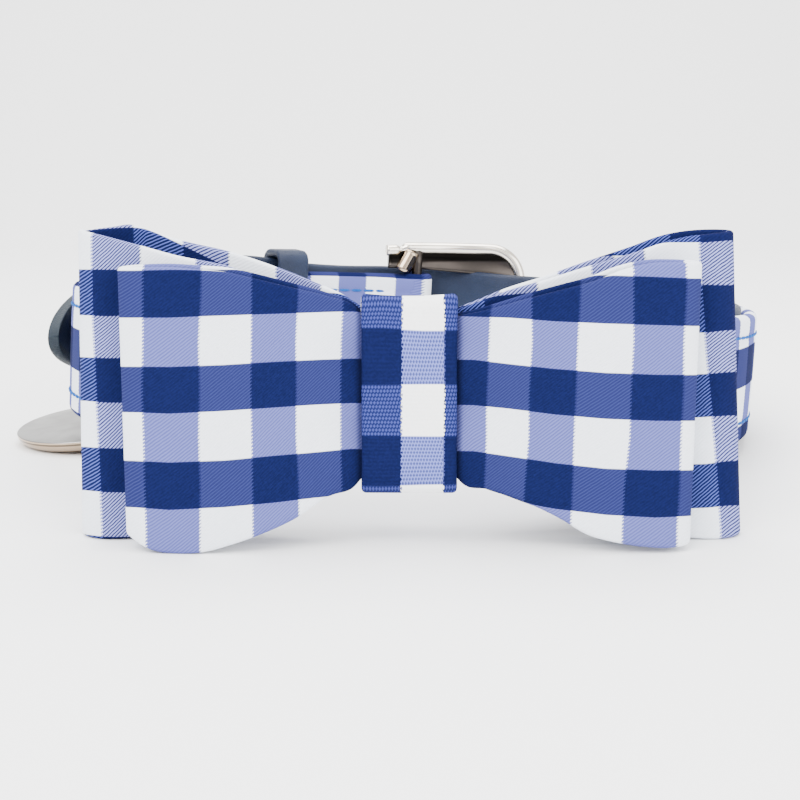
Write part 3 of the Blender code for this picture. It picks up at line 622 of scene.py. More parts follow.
def bow_surface(rows, columns, half_width, flares, wall, up_count=40):
    """The middle surface of a bow's cloth, as (stations, heights, 3), and which of its stations
    are in the front layer."""
    share, side, front, turned = bow_walk()
    places = col(rows, columns, "share")

    def read(name):
        return eased(share, places, col(rows, columns, name))

    if "foot" in columns:
        top = np.where(side > 0, read("right"), np.where(front, read("front_left"), read("back_left")))
        foot = read("foot")
    else:
        top = np.where(side > 0, read("right"), read("left"))
        foot = np.where(side > 0, read("foot_right"), read("foot_left"))
    back = read("back") + np.where(front, -0.5, 0.5) * read("opening") * turned
    flare = np.where(side > 0, flares[1], flares[0])
    up = np.linspace(0, 1, up_count)
    low, high = foot + wall / 2, top - wall / 2
    z = low[:, None] + (high - low)[:, None] * up[None, :]
    x = (side * share * half_width)[:, None] * (1 + flare[:, None] * (0.5 - up[None, :]))
    near_knot = np.exp(-((share - 0.22) / 0.10) ** 2)[:, None]
    pleats = 0.28 * near_knot * np.sin((z / 6.1 + side[:, None] * 0.7) * 2 * math.pi / 1.9)
    depth = back[:, None] + np.where(front, 1.0, 0.4)[:, None] * pleats * (share > 0.165)[:, None]
    sag = 0.12 * np.sin(z / 13.0 + 5 * share[:, None]) * smooth(share, 0.3, 0.6)[:, None]
    y = depth + sag + LEAN_BACK * z
    return np.stack([BOW_X + x, y, z], axis=-1), front


print("bow tables read")

# %% Front bow
middle, _ = bow_surface(FRONT_ROWS, FRONT_COLUMNS, FRONT_HALF, (-0.012, -0.02), BOW_WALL)
FRONT_ACROSS = {
    290: (88, 143.4, 202.0, 251.5, 298.0, 342.0, 392, 442, 492.5, 531.8, 580.6, 632.5, 685.0, 738),
    342: (88, 143.6, 199.6, 251.1, 295.6, 339.2, 390, 440, 490.8, 532.4, 577.8, 632.6, 682.4, 736),
    390: (88, 143.0, 200.5, 250.6, 295.9, 338.8, 390, 439, 488.3, 529.4, 575.9, 630.0, 681.7, 734),
    437: (89, 144.5, 199.8, 251.6, 295.9, 338.7, 389, 438, 487.9, 528.9, 574.1, 628.6, 679.4, 731),
    485: (90, 145.7, 201.0, 252.4, 298.4, 340.0, 389, 438, 486.0, 524.8, 572.5, 623.2, 678.0, 730),
    530: (91, 147.3, 201.0, 252.8, 299.0, 341.0, 389, 437, 485.0, 522.0, 570.5, 621.1, 675.4, 727),
}
FRONT_DOWN = {
    135: (222, 270.4, 317.9, 366.3, 412.2, 460.2, 507.0, 554),
    170: (221, 269.6, 317.8, 366.6, 413.5, 461.9, 509.6, 556),
    225: (219, 269.6, 315.6, 364.5, 410.8, 459.8, 506.9, 553),
    275: (217, 266.0, 314.0, 361.4, 407.3, 455.0, 502.2, 549),
    320: (218, 265.6, 312.6, 359.2, 404.2, 451.4, 496.7, 543),
    350: (219, 265.4, 312.0, 358.4, 402.7, 448.8, 494.0, 540),
    475: (226, 271.2, 316.3, 359.9, 404.9, 450.5, 495.0, 540),
    510: (224, 271.0, 317.9, 363.7, 408.6, 455.7, 500.5, 546),
    555: (226, 274.0, 321.5, 368.5, 414.3, 462.5, 508.4, 555),
    605: (226, 275.0, 323.8, 372.4, 418.8, 468.0, 514.5, 562),
    655: (228, 276.7, 325.2, 374.3, 420.6, 469.8, 517.2, 565),
    690: (230, 278.2, 326.2, 374.5, 420.8, 469.6, 515.6, 563),
}
px, py = seen(middle)
uv = np.stack([band_count(px, py, FRONT_ACROSS, -5, 1), band_count(py, px, FRONT_DOWN, 4, -1)], axis=-1)
front_bow = cloth("front_bow_cloth", middle, uv, BOW_WALL, True)
dress(cloth_front, front_bow)
print("front bow:", len(front_bow.data.polygons), "faces")

# %% Rear bow
middle, front = bow_surface(REAR_ROWS, REAR_COLUMNS, REAR_HALF, (0.010, 0.045), BOW_WALL)
REAR_ACROSS = {
    250: (34, 93.3, 141, 196, 249, 301, 356, 392, 428, 482, 536, 590, 644, 698.2, 756),
    300: (35, 93.8, 142, 196, 249, 301, 356, 392, 428, 483, 538, 592, 646, 701.1, 759),
    350: (37, 96.0, 143, 197, 249, 301, 356, 392, 428, 484, 540, 595, 649, 704.6, 762),
    440: (40, 99.8, 146, 199, 250, 302, 356, 392, 428, 486, 544, 600, 655, 712.4, 769),
    530: (42, 103.3, 149, 201, 251, 302, 356, 392, 428, 488, 548, 605, 661, 718.7, 774),
}
REAR_DOWN = {
    88: (225, 269.2, 315.6, 356.8, 400.8, 446.5, 490.2, 534),
    108: (224, 269.4, 316.5, 357.6, 402.7, 447.7, 492.0, 536),
    220: (221, 267.0, 314.0, 357.0, 403.0, 448.0, 493.0, 537),
    297: (238, 283.5, 329.0, 373.0, 418.0, 462.0, 506.0, 550),
    350: (251, 296.0, 340.0, 383.0, 426.0, 468.0, 510.0, 552),
    460: (253, 298.0, 343.0, 386.0, 430.0, 473.0, 517.0, 560),
    600: (243, 287.0, 335.0, 377.0, 421.0, 466.0, 511.0, 556),
    706: (242.6, 284.5, 332.9, 373.4, 416.8, 463.3, 507.5, 551),
    725: (241.0, 284.9, 330.6, 371.7, 415.7, 460.5, 505.5, 549),
}
# The inner layer shows only at the top: its check has its own borders in mm, and at the left its
# rows slope down towards the knot
LEFT_BORDERS, RIGHT_BORDERS = (-43.6, -35.3, -27.5, -19.9, -12.5, -4.5), (25.3, 34.6, 43.9, 53.2)
LEFT_ROW, RIGHT_ROW, ROW_HEIGHT, ROW_SLOPE = 27.6, 30.3, 7.2, 0.45
x, z = middle[..., 0], middle[..., 2]
px, py = seen(middle)
across, down = band_count(px, py, REAR_ACROSS, -7, 1), band_count(py, px, REAR_DOWN, 4, -1)
inner = ~np.broadcast_to(front[:, None], x.shape)
slid = ROW_SLOPE * np.clip(x + 41.5, 0, 22)
for chosen, borders, first, height in (
    (inner & (x < BOW_X), LEFT_BORDERS, -5, z - LEFT_ROW + slid),
    (inner & (x > BOW_X), RIGHT_BORDERS, 4, z - RIGHT_ROW),
):
    across = np.where(chosen, border_count(x, borders, first), across)
    down = np.where(chosen, height / ROW_HEIGHT, down)
uv = np.stack([across, down], axis=-1)
rear_bow = cloth("rear_bow_cloth", middle, uv, BOW_WALL, True)
dress(cloth_rear, rear_bow)
print("rear bow:", len(rear_bow.data.polygons), "faces")

# %% [markdown]
# ## The knot
# A strip round both waists and the band, turned so that its columns run up the knot. Its front is
# padded a little and its side edges are folded under.

# %% Knot
KNOT_WIDTH, KNOT_WALL, KNOT_CORNER, KNOT_FALL = 15.1, 1.4, 1.9, 1.9
box_low, box_high = 1000 * np.array(knot_low) - SHIFT, 1000 * np.array(knot_high) - SHIFT
low, high = box_low[2] - 0.6 + KNOT_WALL / 2, box_high[2] + 0.25 - KNOT_WALL / 2
near = FRONT_WAIST - BOW_WALL / 2 - GAP - KNOT_WALL / 2 - 0.15
far = box_high[1] - KNOT_WALL / 2 - LEAN_BACK * 36.0
corners = ((near, low), (near, high), (far, high), (far, low))
outline = rounded_box(corners, KNOT_CORNER, np.linspace(270, 180, 8), -90)
loop = np.vstack([outline, outline[:1]])
at = np.concatenate([[0], np.cumsum(np.hypot(*np.diff(loop, axis=0).T))])
walk = np.linspace(0, at[-1], 241)[:-1]
back_place, up = np.interp(walk, at, loop[:, 0]), np.interp(walk, at, loop[:, 1])
width = np.linspace(-1, 1, 49)
facing = np.clip(1 - (back_place - near) / 5.0, 0, 1)
inside = smooth(np.minimum(up - low, high - up) / 5.0)
crown = 0.65 * (facing * inside)[:, None] * (1 - np.abs(width)[None, :] ** 3)
fall = KNOT_FALL * (back_place - near) / (far - near) * (up > (low + high) / 2)
half_width = (KNOT_WIDTH - KNOT_WALL) / 2 * (1 - 0.012 * inside * facing)
kx = BOW_X + 0.05 + width[None, :] * half_width[:, None]
wobble = 0.08 * np.sin(up[:, None] / 2.3 + 2 * width[None, :]) * facing[:, None]
dip = 0.35 * (1 - width[None, :] ** 2) * smooth(up, high - 1.5, high)[:, None]
kz = up[:, None] - fall[:, None] - dip + 0 * width[None, :]
ky = back_place[:, None] - crown + wobble + LEAN_BACK * kz
middle = np.stack([kx, ky, kz], axis=-1)
px, py = seen(middle)
KNOT_ACROSS = {300: (359, 402.9, 443.8, 485), 490: (357, 401.3, 442.8, 484)}
KNOT_DOWN = {382: (275, 328.2, 384.6, 435.4, 483.6), 423: (277, 330.4, 384.4, 435.6, 482.8)}
u, v = band_count(px, py, KNOT_ACROSS, 0, 1), band_count(py, px, KNOT_DOWN, 4, -1)
v = v + np.where(back_place > near + 3, (back_place - near) / 8.2, 0)[:, None]
knot = cloth("knot_cloth", middle, np.stack([u, v], axis=-1), KNOT_WALL, True)
dress(cloth_knot, knot)
print("knot:", len(knot.data.polygons), "faces")

# %% [markdown]
# ## The band
# Webbing in a cloth cover, with a row of stitches near each edge that pulls the cover in.

# %% Band
END = at_angle(138)
BAR_RADIUS, TONGUE_RADIUS = 1.3, 1.1
EYE = BAR_RADIUS + GAP + 0.75 * BAND_WALL
STITCH_IN, STITCH_PITCH = 4.2, 3.1


def rounded_section(width, wall, radius, per_face, rim_steps=6):
    """Points round a strap's section as (out, up): outer face up, inner face down."""
    h = np.linspace(radius, width - radius, per_face)
    t = np.linspace(0, math.pi, rim_steps + 2)[1:-1]
    half = wall / 2
    top = np.stack([half * np.cos(t), width - radius + radius * np.sin(t)], 1)
    foot = np.stack([-half * np.cos(t), radius - radius * np.sin(t)], 1)
    return np.concatenate([
        np.stack([np.full(per_face, half), h], 1), top, np.stack([np.full(per_face, -half), h[::-1]], 1), foot,
    ])


def strap(name, alongs, section, out_of, rise_of, uv_of, squeeze=None):
    """A strap with a section (out, up) at each distance along the loop."""
    out = np.broadcast_to(section[None, :, 0], (len(alongs), len(section)))
    up = np.broadcast_to(section[None, :, 1], out.shape)
    if squeeze is not None:
        out, up = squeeze(alongs[:, None], out, up)
    points = collar(alongs[:, None], out + out_of[:, None], up + rise_of[:, None])
    made = grid_object(name, points, uv_of(alongs[:, None] + 0 * up, up), (False, True))
    cap_ends(made)
    return made


def pulled_in(along, out, up):
    """The cover's puckers: a groove along each stitch line, deepest at each stitch's ends."""
    groove = sum(np.exp(-(((up - h) / 0.55) ** 2)) for h in (STITCH_IN, BAND_WIDTH - STITCH_IN))
    pull = 0.10 + 0.12 * (0.5 + 0.5 * np.cos(2 * math.pi * along / STITCH_PITCH))
    crown = 0.10 * np.sin(math.pi * np.clip(up / BAND_WIDTH, 0, 1)) ** 2
    size = (np.abs(out) - groove * pull + crown) / np.maximum(np.abs(out), 0.05)
    fold = 1 + np.where(out < 0, 1.45, 0.7) * smooth((HEEL - LOOP + 10.5 - along) / 9)
    return out * np.where(np.abs(out) > 1.2, size, 1.0) * fold, up


LEFT = at_angle(-92)


def band_out(along):
    """How far the cover stands off the loop's line: a little more at the far left."""
    return 1.05 * np.exp(-(((along - LEFT) / 15) ** 2))


COLUMN_SHIFT = ((-170, -104, 0, 104, 160), (0, 0.45, 0, -0.75, 0))
ROW_SHIFT = (
    (-150, -104, -60, 0, 60, 90, 104, 160, 260), (0, 0.16, 0.16, 0, 1.0, 1.55, 1.45, 0.7, 0),
)
COLUMN_WIDTH, ROW_WIDTH, FIRST_COLUMN = 7.17, 7.85, 0.21


def band_uv(along, up):
    u = (along + LOOP - HEEL) / COLUMN_WIDTH + np.interp(along, *COLUMN_SHIFT) + FIRST_COLUMN
    v = (up - BAND_WIDTH / 2 - 1.9 * np.interp(along, *ROW_SHIFT)) / ROW_WIDTH + 0.5
    return np.stack([u, v], axis=-1)


alongs = np.linspace(HEEL - LOOP + 1.0, END, 820)
section = rounded_section(BAND_WIDTH, BAND_WALL, 1.3, 40)
zero = np.zeros(len(alongs))
band = strap("band_cloth", alongs, section, band_out(alongs), zero, band_uv, pulled_in)
dress(cloth_band, band)
print("band:", len(band.data.polygons), "faces")

# %% Fold round the heel bar
PRONG_UP, SLOT = 14.0, 3.6
folds = []
for name, h0, h1 in (
    ("band_fold_low", 0.2, PRONG_UP - SLOT / 2),
    ("band_fold_high", PRONG_UP + SLOT / 2, BAND_WIDTH - 0.2),
):
    angle = np.linspace(0, 2 * math.pi, 61)[:-1]
    h = np.linspace(h0 + 0.6, h1 - 0.6, 14)
    wall = EYE - BAR_RADIUS - GAP
    mid = BAR_RADIUS + GAP + wall / 2
    a2, h2 = np.meshgrid(angle, h, indexing="ij")
    middle = collar(HEEL - mid * np.cos(a2), mid * np.sin(a2), h2)
    uv = band_uv(HEEL - LOOP + 3.5 * a2 / math.pi, h2)
    made = cloth(name, middle, uv, wall, True)
    dress(cloth_band, made)
    folds.append(made)
print("folds:", [f.name for f in folds])


# %% [markdown]
# ## The leather tail and keeper
# The tail starts inside the band on the right, passes under the buckle's front bar and over the
# fold, and lies outside the band behind. Its tip springs away at the left.

# %% Leather tail
BILLET_WALL, BILLET_WIDTH, TAIL, POINT, RISE, SPRING = 2.2, 25.4, 102.0, 31.0, 1.5, 4.45
FRAME_LENGTH, FRAME_OUT, FRAME_RADIUS = 25.4, 1.6, 1.9
TAIL_COLUMNS = ("place", "rise", "off")
TAIL_ROWS = (
    (0.00, 0.80, 0.00),
    (0.28, 1.30, 0.00),
    (0.40, 2.30, 0.01),
    (0.55, 2.30, 0.03),
    (0.72, 1.60, 0.16),
    (0.86, 1.00, 0.50),
    (1.00, 0.60, 1.00),
)
INNER = -(BAND_WALL + BILLET_WALL) / 2 - GAP
OVER_EYE = EYE + 2 * GAP + BILLET_WALL / 2
UNDER_BAR = FRAME_OUT - FRAME_RADIUS - GAP - BILLET_WALL / 2


def billet_out(along):
    """How far the tail's middle lies outside the loop's line."""
    bar = HEEL - FRAME_LENGTH
    under = INNER + (UNDER_BAR - INNER) * smooth((along - at_angle(138)) / 12)
    rise = smooth((along - bar - 2) / (FRAME_LENGTH - 3 - EYE))
    settle = smooth((along - HEEL - EYE - 1) / 14)
    return under + (OVER_EYE - under) * rise + (-INNER - OVER_EYE) * settle


def tail_read(name, along):
    """One column of the tail's table at a distance along the loop."""
    place = np.clip((along - HEEL) / TAIL, 0, 1)
    return eased(place, col(TAIL_ROWS, TAIL_COLUMNS, "place"), col(TAIL_ROWS, TAIL_COLUMNS, name))


tip = HEEL + TAIL
body = np.linspace(at_angle(62), tip - POINT, 420)
alongs = np.concatenate([body, tip - POINT * (1 - np.sin(np.linspace(0, math.pi / 2, 48)))[1:]])
rise, off = RISE * tail_read("rise", alongs), SPRING * tail_read("off", alongs)
from_tip = np.clip((tip - alongs) / 46.0, 0, 1)
half = BILLET_WIDTH / 2 * np.maximum(np.sqrt(1 - (1 - from_tip) ** 2), 0.02)
section = rounded_section(BILLET_WIDTH, BILLET_WALL, 0.8, 22)
share = section[:, 1] / BILLET_WIDTH * 2 - 1
mid = rise + BILLET_WIDTH / 2
up = mid[:, None] + half[:, None] * share[None, :]
edge = (1 - np.abs(share))[None, :] * half[:, None]
near_tip = smooth(alongs, tip - 70, tip - 25)[:, None]
rim = smooth(1.1 - edge / 3.2) * (0.25 + 0.75 * near_tip)
out = (billet_out(alongs) + off)[:, None] + section[None, :, 0]
points = collar(alongs[:, None], out, up)
billet = grid_object("tail_leather", points, wrap=(False, True), attributes={"rim": rim + 0 * out})
cap_ends(billet)
dress(tail_leather, billet)


def cutter(points_low, points_high, radius, name, stretch=(1.0, 1.0)):
    """A round or oval pin between two points on the collar, given as (along, out, up)."""
    turn = np.linspace(0, 2 * math.pi, 28, endpoint=False)
    wide, tall = radius * stretch[0] * np.cos(turn), radius * stretch[1] * np.sin(turn)
    ends = [collar(a + wide, o, h + tall) for a, o, h in (points_low, points_high)]
    made = grid_object(name, np.stack(ends), wrap=(False, True))
    cap_ends(made)
    return made


def punch(item, pins):
    """Cuts the pins out of the item and bakes the result."""
    for pin in pins:
        step = item.modifiers.new(pin.name, "BOOLEAN")
        step.object, step.operation = pin, "DIFFERENCE"
    graph = bpy.context.evaluated_depsgraph_get()
    baked = bpy.data.meshes.new_from_object(item.evaluated_get(graph))
    item.modifiers.clear()
    item.data = baked
    for pin in pins:
        bpy.data.objects.remove(pin, do_unlink=True)


def prong_out(step):
    """How far out the tongue lies at a distance from the heel bar."""
    start = BAR_RADIUS + GAP + TONGUE_RADIUS
    rest = FRAME_OUT + FRAME_RADIUS + GAP + TONGUE_RADIUS
    return start + (rest - start) * np.clip(step / FRAME_LENGTH, 0, 1) ** 2


HOLES, HOLE_STEP, FIRST_HOLE, HOLE_RADIUS, SLOT_RADIUS = 4, 13.0, 2.9, 1.8, 1.75
crossing = next(s for s in np.linspace(4, FRAME_LENGTH, 200) if prong_out(s) >= billet_out(HEEL - s))
slot_at, slot_up = HEEL - crossing, PRONG_UP + 0.3
pins = [cutter((slot_at, -4, slot_up), (slot_at, 9, slot_up), SLOT_RADIUS, "slot", (3.3, 1.0))]
for k in range(HOLES):
    along = slot_at + HOLE_STEP * (k + FIRST_HOLE)
    o = float(billet_out(along) + SPRING * tail_read("off", along))
    h = float(RISE * tail_read("rise", along)) + BILLET_WIDTH / 2
    pins.append(cutter((along, o - 2, h), (along, o + 2, h), HOLE_RADIUS, f"hole_{k}"))
punch(billet, pins)
print("tail:", len(billet.data.polygons), "faces")

# %% Keeper
KEEPER_WALL, KEEPER_WIDTH, KEEPER_CORNER, KEEPER_AT = 1.8, 8.0, 1.9, HEEL + 32.6
wall = KEEPER_WALL / 2 + GAP
box = (-BAND_WALL / 2 - wall, -INNER + BILLET_WALL / 2 + wall + GAP, -wall, BAND_WIDTH + 2 * RISE + wall)
corners = ((box[1], box[2]), (box[1], box[3]), (box[0], box[3]), (box[0], box[2]))
ring = rounded_box(corners, KEEPER_CORNER, np.linspace(-90, 0, 9), 90)
across = np.linspace(-KEEPER_WIDTH / 2 + 0.9, KEEPER_WIDTH / 2 - 0.9, 12)
middle = collar(KEEPER_AT + across[None, :], ring[:, 0][:, None], ring[:, 1][:, None])
keeper = cloth("keeper_leather", middle, np.zeros(middle.shape[:2] + (2,)), KEEPER_WALL, True)
dress(tail_leather, keeper)
print("keeper:", len(keeper.data.polygons), "faces")

# %% [markdown]
# ## Metal
# The buckle's frame is a bar with a flange set back from its bright rim.

# %% Buckle frame
FRAME_HEIGHT, FOOT_RADIUS, EAR, CORNER, ARCH = 35.8, 1.15, 7.9, 7.5, 1.0
top_bar, foot_bar = FRAME_HEIGHT - FRAME_RADIUS, FOOT_RADIUS
middle_up, half_up = (top_bar + foot_bar) / 2, (top_bar - foot_bar) / 2
walk = [(-EAR + EAR * k / 15, half_up) for k in range(15)]
walk += [(FRAME_LENGTH * k / 20, half_up) for k in range(1, 14)]
walk += [
    (FRAME_LENGTH - CORNER + CORNER * math.cos(a), half_up - CORNER + CORNER * math.sin(a))
    for a in np.radians(np.linspace(90, 0, 16))
]
walk = np.array(walk + [(s, -h) for s, h in reversed(walk)])
turn = np.interp(HEEL - walk[:, 0], lengths, turns)
share = np.clip(walk[:, 0] / FRAME_LENGTH, -0.3, 1)
out = FRAME_OUT * share + ARCH * np.sin(math.pi * np.maximum(share, 0))
lift = 0.75 - 0.85 * np.maximum(share, -0.1) - 0.45 * smooth((-3.2 - walk[:, 0]) / 1.2)
lift *= np.clip(walk[:, 1] / half_up, 0, 1)
path = collar(HEEL - walk[:, 0], out, middle_up + walk[:, 1] + lift - lower_edge(turn))
radii = FOOT_RADIUS + (FRAME_RADIUS - FOOT_RADIUS) * (walk[:, 1] + half_up) / (2 * half_up)
BEAD = ((-EAR, -5.2, -4.5, -3.8, -3.0), (1.3, 1.3, 0.8, 0.85, 1.38))
radii = np.minimum(radii, np.interp(walk[:, 0], *BEAD))
buckle = tube("buckle_frame_metal", path, radii, sides=28)
dress(nickel, buckle)
heel_turn = float(np.interp(HEEL, lengths, turns))
foot_h, top_h = foot_bar - lower_edge(heel_turn), top_bar - lower_edge(heel_turn)
heel_line = collar(HEEL, 0, np.linspace(foot_h, top_h, 12))
bar = tube("heel_bar_metal", heel_line, [BAR_RADIUS] * 12, sides=24, up=(0, 1, 0))
# The heel bar is drawn in the dark painted-shade copy of the nickel.
dress(nickel_painted_shade, bar)
neck_at = np.linspace(0, 1, 8)
neck = tube(
    "buckle_neck_metal", collar(HEEL + 1.4 + 2.4 * neck_at, -0.5, top_h - 0.2 - 4.8 * neck_at),
    1.9 + 0.2 * neck_at, up=(0, 1, 0),
)
# The neck is drawn in the beige painted-reflection copy of the nickel.
dress(nickel_painted_floor_reflection, neck)

# The frame's broad side: a recessed face from the bright edge down to the leather
corner_at = FRAME_LENGTH - CORNER
steps = np.concatenate([
    np.linspace(-EAR + 0.6, corner_at, 30), corner_at + CORNER * np.sin(np.linspace(0.1, 1.25, 16)),
])
arc = np.clip((steps - FRAME_LENGTH + CORNER) / CORNER, 0, 1)
bar_z = middle_up + half_up - CORNER * (1 - np.sqrt(1 - arc**2))
edge_z = lower_edge(np.interp(HEEL - steps, lengths, turns))
share = np.clip(steps / FRAME_LENGTH, -0.3, 1)
foot_up = np.minimum(BAND_WIDTH + 2.0 - 1.5 * np.maximum(share, 0), bar_z - edge_z - 0.4)
face_out = FRAME_OUT * share + ARCH * np.sin(math.pi * np.maximum(share, 0)) - 0.2
climb = np.linspace(0, 1, 12)
level = foot_up[:, None] + (bar_z - edge_z - foot_up)[:, None] * climb[None, :]
hollow = 0.5 * np.sin(math.pi * climb)[None, :]
face = collar((HEEL - steps)[:, None], face_out[:, None] + hollow, level)
flange = cloth("buckle_side_metal", face, np.zeros(face.shape[:2] + (2,)), 1.3, False)
places = np.zeros(len(flange.data.vertices) * 3)
flange.data.vertices.foreach_get("co", places)
height = 1000 * places.reshape(-1, 3)[:, 2] - SHIFT[2]
# Painted shade: the strip of the flange just under the bright bead gets rim 1 and turns near black.
made = flange.data.attributes.new("rim", "FLOAT", "POINT")
made.data.foreach_set("value", smooth(height, top_bar - 3.6, top_bar - 1.9).astype(np.float32))
# The recessed side is drawn in the dark painted-shade copy of the nickel.
dress(nickel_painted_shade, flange)

# Tongue: an eye round the heel bar and a tapering shank
eye_radius = BAR_RADIUS + GAP + TONGUE_RADIUS
angle = np.linspace(0, 2 * math.pi, 48, endpoint=False)
eye_line = collar(HEEL - eye_radius * np.cos(angle), eye_radius * np.sin(angle), PRONG_UP)
eye = tube("tongue_eye", eye_line, [TONGUE_RADIUS] * 48, closed=True, up=(0, 0.1, 1))
steps = np.linspace(0, FRAME_LENGTH + 2.2, 40)
taper_at = (0, FRAME_LENGTH, FRAME_LENGTH + 1.6, FRAME_LENGTH + 2.2)
taper = TONGUE_RADIUS * np.interp(steps, taper_at, (1, 0.9, 0.7, 0.25))
tongue = tube("tongue_metal", collar(HEEL - steps, prong_out(steps), PRONG_UP), taper)
dress(nickel, eye, tongue)

# %% Leash ring, split ring and disc
D_ANGLE, D_RADIUS, D_DEPTH, D_CORNER = -116.6, 1.3, 10.1, 1.2
along = at_angle(D_ANGLE)
d_rise = float(RISE * tail_read("rise", along + LOOP))
d_off = float(SPRING * tail_read("off", along + LOOP))
low, high = -D_RADIUS - 2 * GAP, BAND_WIDTH + d_rise + D_RADIUS + 2 * GAP
mid, half = (low + high) / 2, (high - low) / 2
near, far = -BAND_WALL / 2, -INNER + BILLET_WALL / 2 + d_off + 3 * GAP + D_RADIUS
arc = [
    (near - D_DEPTH * math.cos(a), mid + half * math.sin(a))
    for a in np.radians(np.linspace(90, -90, 60))
]
corner = [
    (far - D_CORNER + D_CORNER * math.sin(a), low + D_CORNER - D_CORNER * math.cos(a))
    for a in np.radians(np.linspace(0, 90, 8))
]
corner += [(o, 2 * mid - h) for o, h in reversed(corner)]
outline = np.array(arc + corner)
d_line = collar(along, outline[:, 0], outline[:, 1])
d_ring = tube("leash_ring_metal", d_line, [D_RADIUS] * len(d_line), closed=True)

slope, heading, where = math.radians(71.4), math.radians(80), math.radians(208.3)
RING, WIRE, HANG, ARC_AT = 6.3, 0.65, 2.1, math.radians(-50)
# SOLID_T and SOLID_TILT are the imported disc's, and the ring hangs through that disc's hole
SOLID_T, SOLID_TILT = 2.4, math.radians(5.9)
DISC_R, DISC_T, DISC_TILT, DISC_WAY = 15.7, 2.75, math.radians(6.0), math.radians(30)
INSET, HOLE, EDGE, UNDERCUT = 3.1, 2.3, 0.3, 3.4
ahead = np.array([math.cos(heading), math.sin(heading), 0])
sideways = np.array([-math.sin(heading), math.cos(heading), 0])
rising = sideways * math.cos(slope) + np.array([0, 0, math.sin(slope)])
hook = collar(along, near - D_DEPTH * math.cos(ARC_AT), mid + half * math.sin(ARC_AT))
disc_up = SOLID_T / 2 + (DISC_R - SOLID_T / 2) * math.sin(SOLID_TILT)
hole_z = disc_up + (DISC_R - INSET) * math.sin(SOLID_TILT)
centre = hook - ahead * HANG
centre[2] = hole_z - math.sin(where) * rising[2] * RING
around = np.linspace(0, 2 * math.pi, 80, endpoint=False)[:, None]
ring_points = centre + RING * (np.cos(around) * ahead + np.sin(around) * rising)
split = tube("split_ring_metal", ring_points, [WIRE] * 80, closed=True)
dress(nickel, d_ring, split)

through = centre + RING * (math.cos(where) * ahead + math.sin(where) * rising)
level = math.cos(DISC_TILT)
x_axis = np.array([math.cos(DISC_WAY) * level, math.sin(DISC_WAY) * level, math.sin(DISC_TILT)])
y_axis = np.array([-math.sin(DISC_WAY), math.cos(DISC_WAY), 0])
z_axis = np.cross(x_axis, y_axis)
hole_at = DISC_R - INSET
disc_at = through - x_axis * hole_at - np.array([0.4, 0.8, 0.0])
disc_at[2] = disc_up
turn = np.linspace(0, 2 * math.pi, 144, endpoint=False)
half = DISC_T / 2
rim = [
    (DISC_R - EDGE + EDGE * math.sin(a), half - EDGE + EDGE * math.cos(a))
    for a in np.radians(np.linspace(0, 90, 5))
]
rim += [
    (DISC_R - UNDERCUT * (1 - math.cos(a)), half - EDGE - (DISC_T - EDGE) * math.sin(a))
    for a in np.radians(np.linspace(6, 90, 14))
]


def disc_ring(radius, height, share):
    """A circle that passes from the disc's rim to its hole's edge as share goes from 0 to 1."""
    r = radius * (1 - share) + HOLE * share
    cx = hole_at * share
    flat = np.stack([cx + r * np.cos(turn), r * np.sin(turn), np.full(144, height)], 1)
    return disc_at + flat[:, :1] * x_axis + flat[:, 1:2] * y_axis + flat[:, 2:] * z_axis


rings = [disc_ring(DISC_R - 0.5, half, s) for s in (1.0, 0.98, 0.8, 0.5, 0.2)]
rings += [disc_ring(r, h, 0) for r, h in rim]
rings += [disc_ring(DISC_R - UNDERCUT - 0.2, -half, s) for s in (0.2, 0.5, 0.8, 0.98, 1.0)]
rings = np.stack(rings)
rings[..., 2] -= rings[..., 2].min()
# Painted dark reflection: two rings just under the disc's top edge get rim 0.6.
edge_shade = np.zeros(rings.shape[:2])
edge_shade[10:12] = 0.6
disc = grid_object("disc_metal", rings, wrap=(True, True), attributes={"rim": edge_shade})
# The disc's top face is drawn in the grey satin copy, whose colour is a painted reflection.
dress(nickel_satin_painted_grey, disc)
# The disc's side is drawn in the beige painted-reflection copy of the nickel.
dress(nickel_painted_floor_reflection, disc)
ring_of = np.arange(len(disc.data.polygons)) // 144
disc.data.polygons.foreach_set("material_index", ((ring_of > 7) & (ring_of < 25)).astype(np.int32))
print("metal pieces:", [o.name for o in (buckle, bar, tongue, eye, d_ring, split, disc)])


# %% [markdown]
# ## Stitches
# Each stitch is a short rounded length of thread that dips into the cover at both ends.

# %% Stitches
def stitch_row(along_list, out, up, length, radius):
    """Points and faces of a row of stitches."""
    sides, rings = 8, 7
    t = np.linspace(-1, 1, rings)
    ring_turn = np.linspace(0, 2 * math.pi, sides, endpoint=False)
    points, faces = [], []
    for a in along_list:
        base = sum(len(p) for p in points)
        thick = radius * np.sqrt(np.clip(1 - 0.92 * t**4, 0.05, 1))
        dip = -0.16 * t**4 * np.sign(out)
        o = out + band_out(a) + dip[:, None] + thick[:, None] * np.cos(ring_turn)[None, :] * 0.8
        h = up + thick[:, None] * np.sin(ring_turn)[None, :]
        points.append(collar(a + (t * length / 2)[:, None], o, h).reshape(-1, 3))
        for i in range(rings - 1):
            for j in range(sides):
                j2 = (j + 1) % sides
                here, there = base + i * sides, base + (i + 1) * sides
                faces.append((here + j, there + j, there + j2, here + j2))
    return points, faces


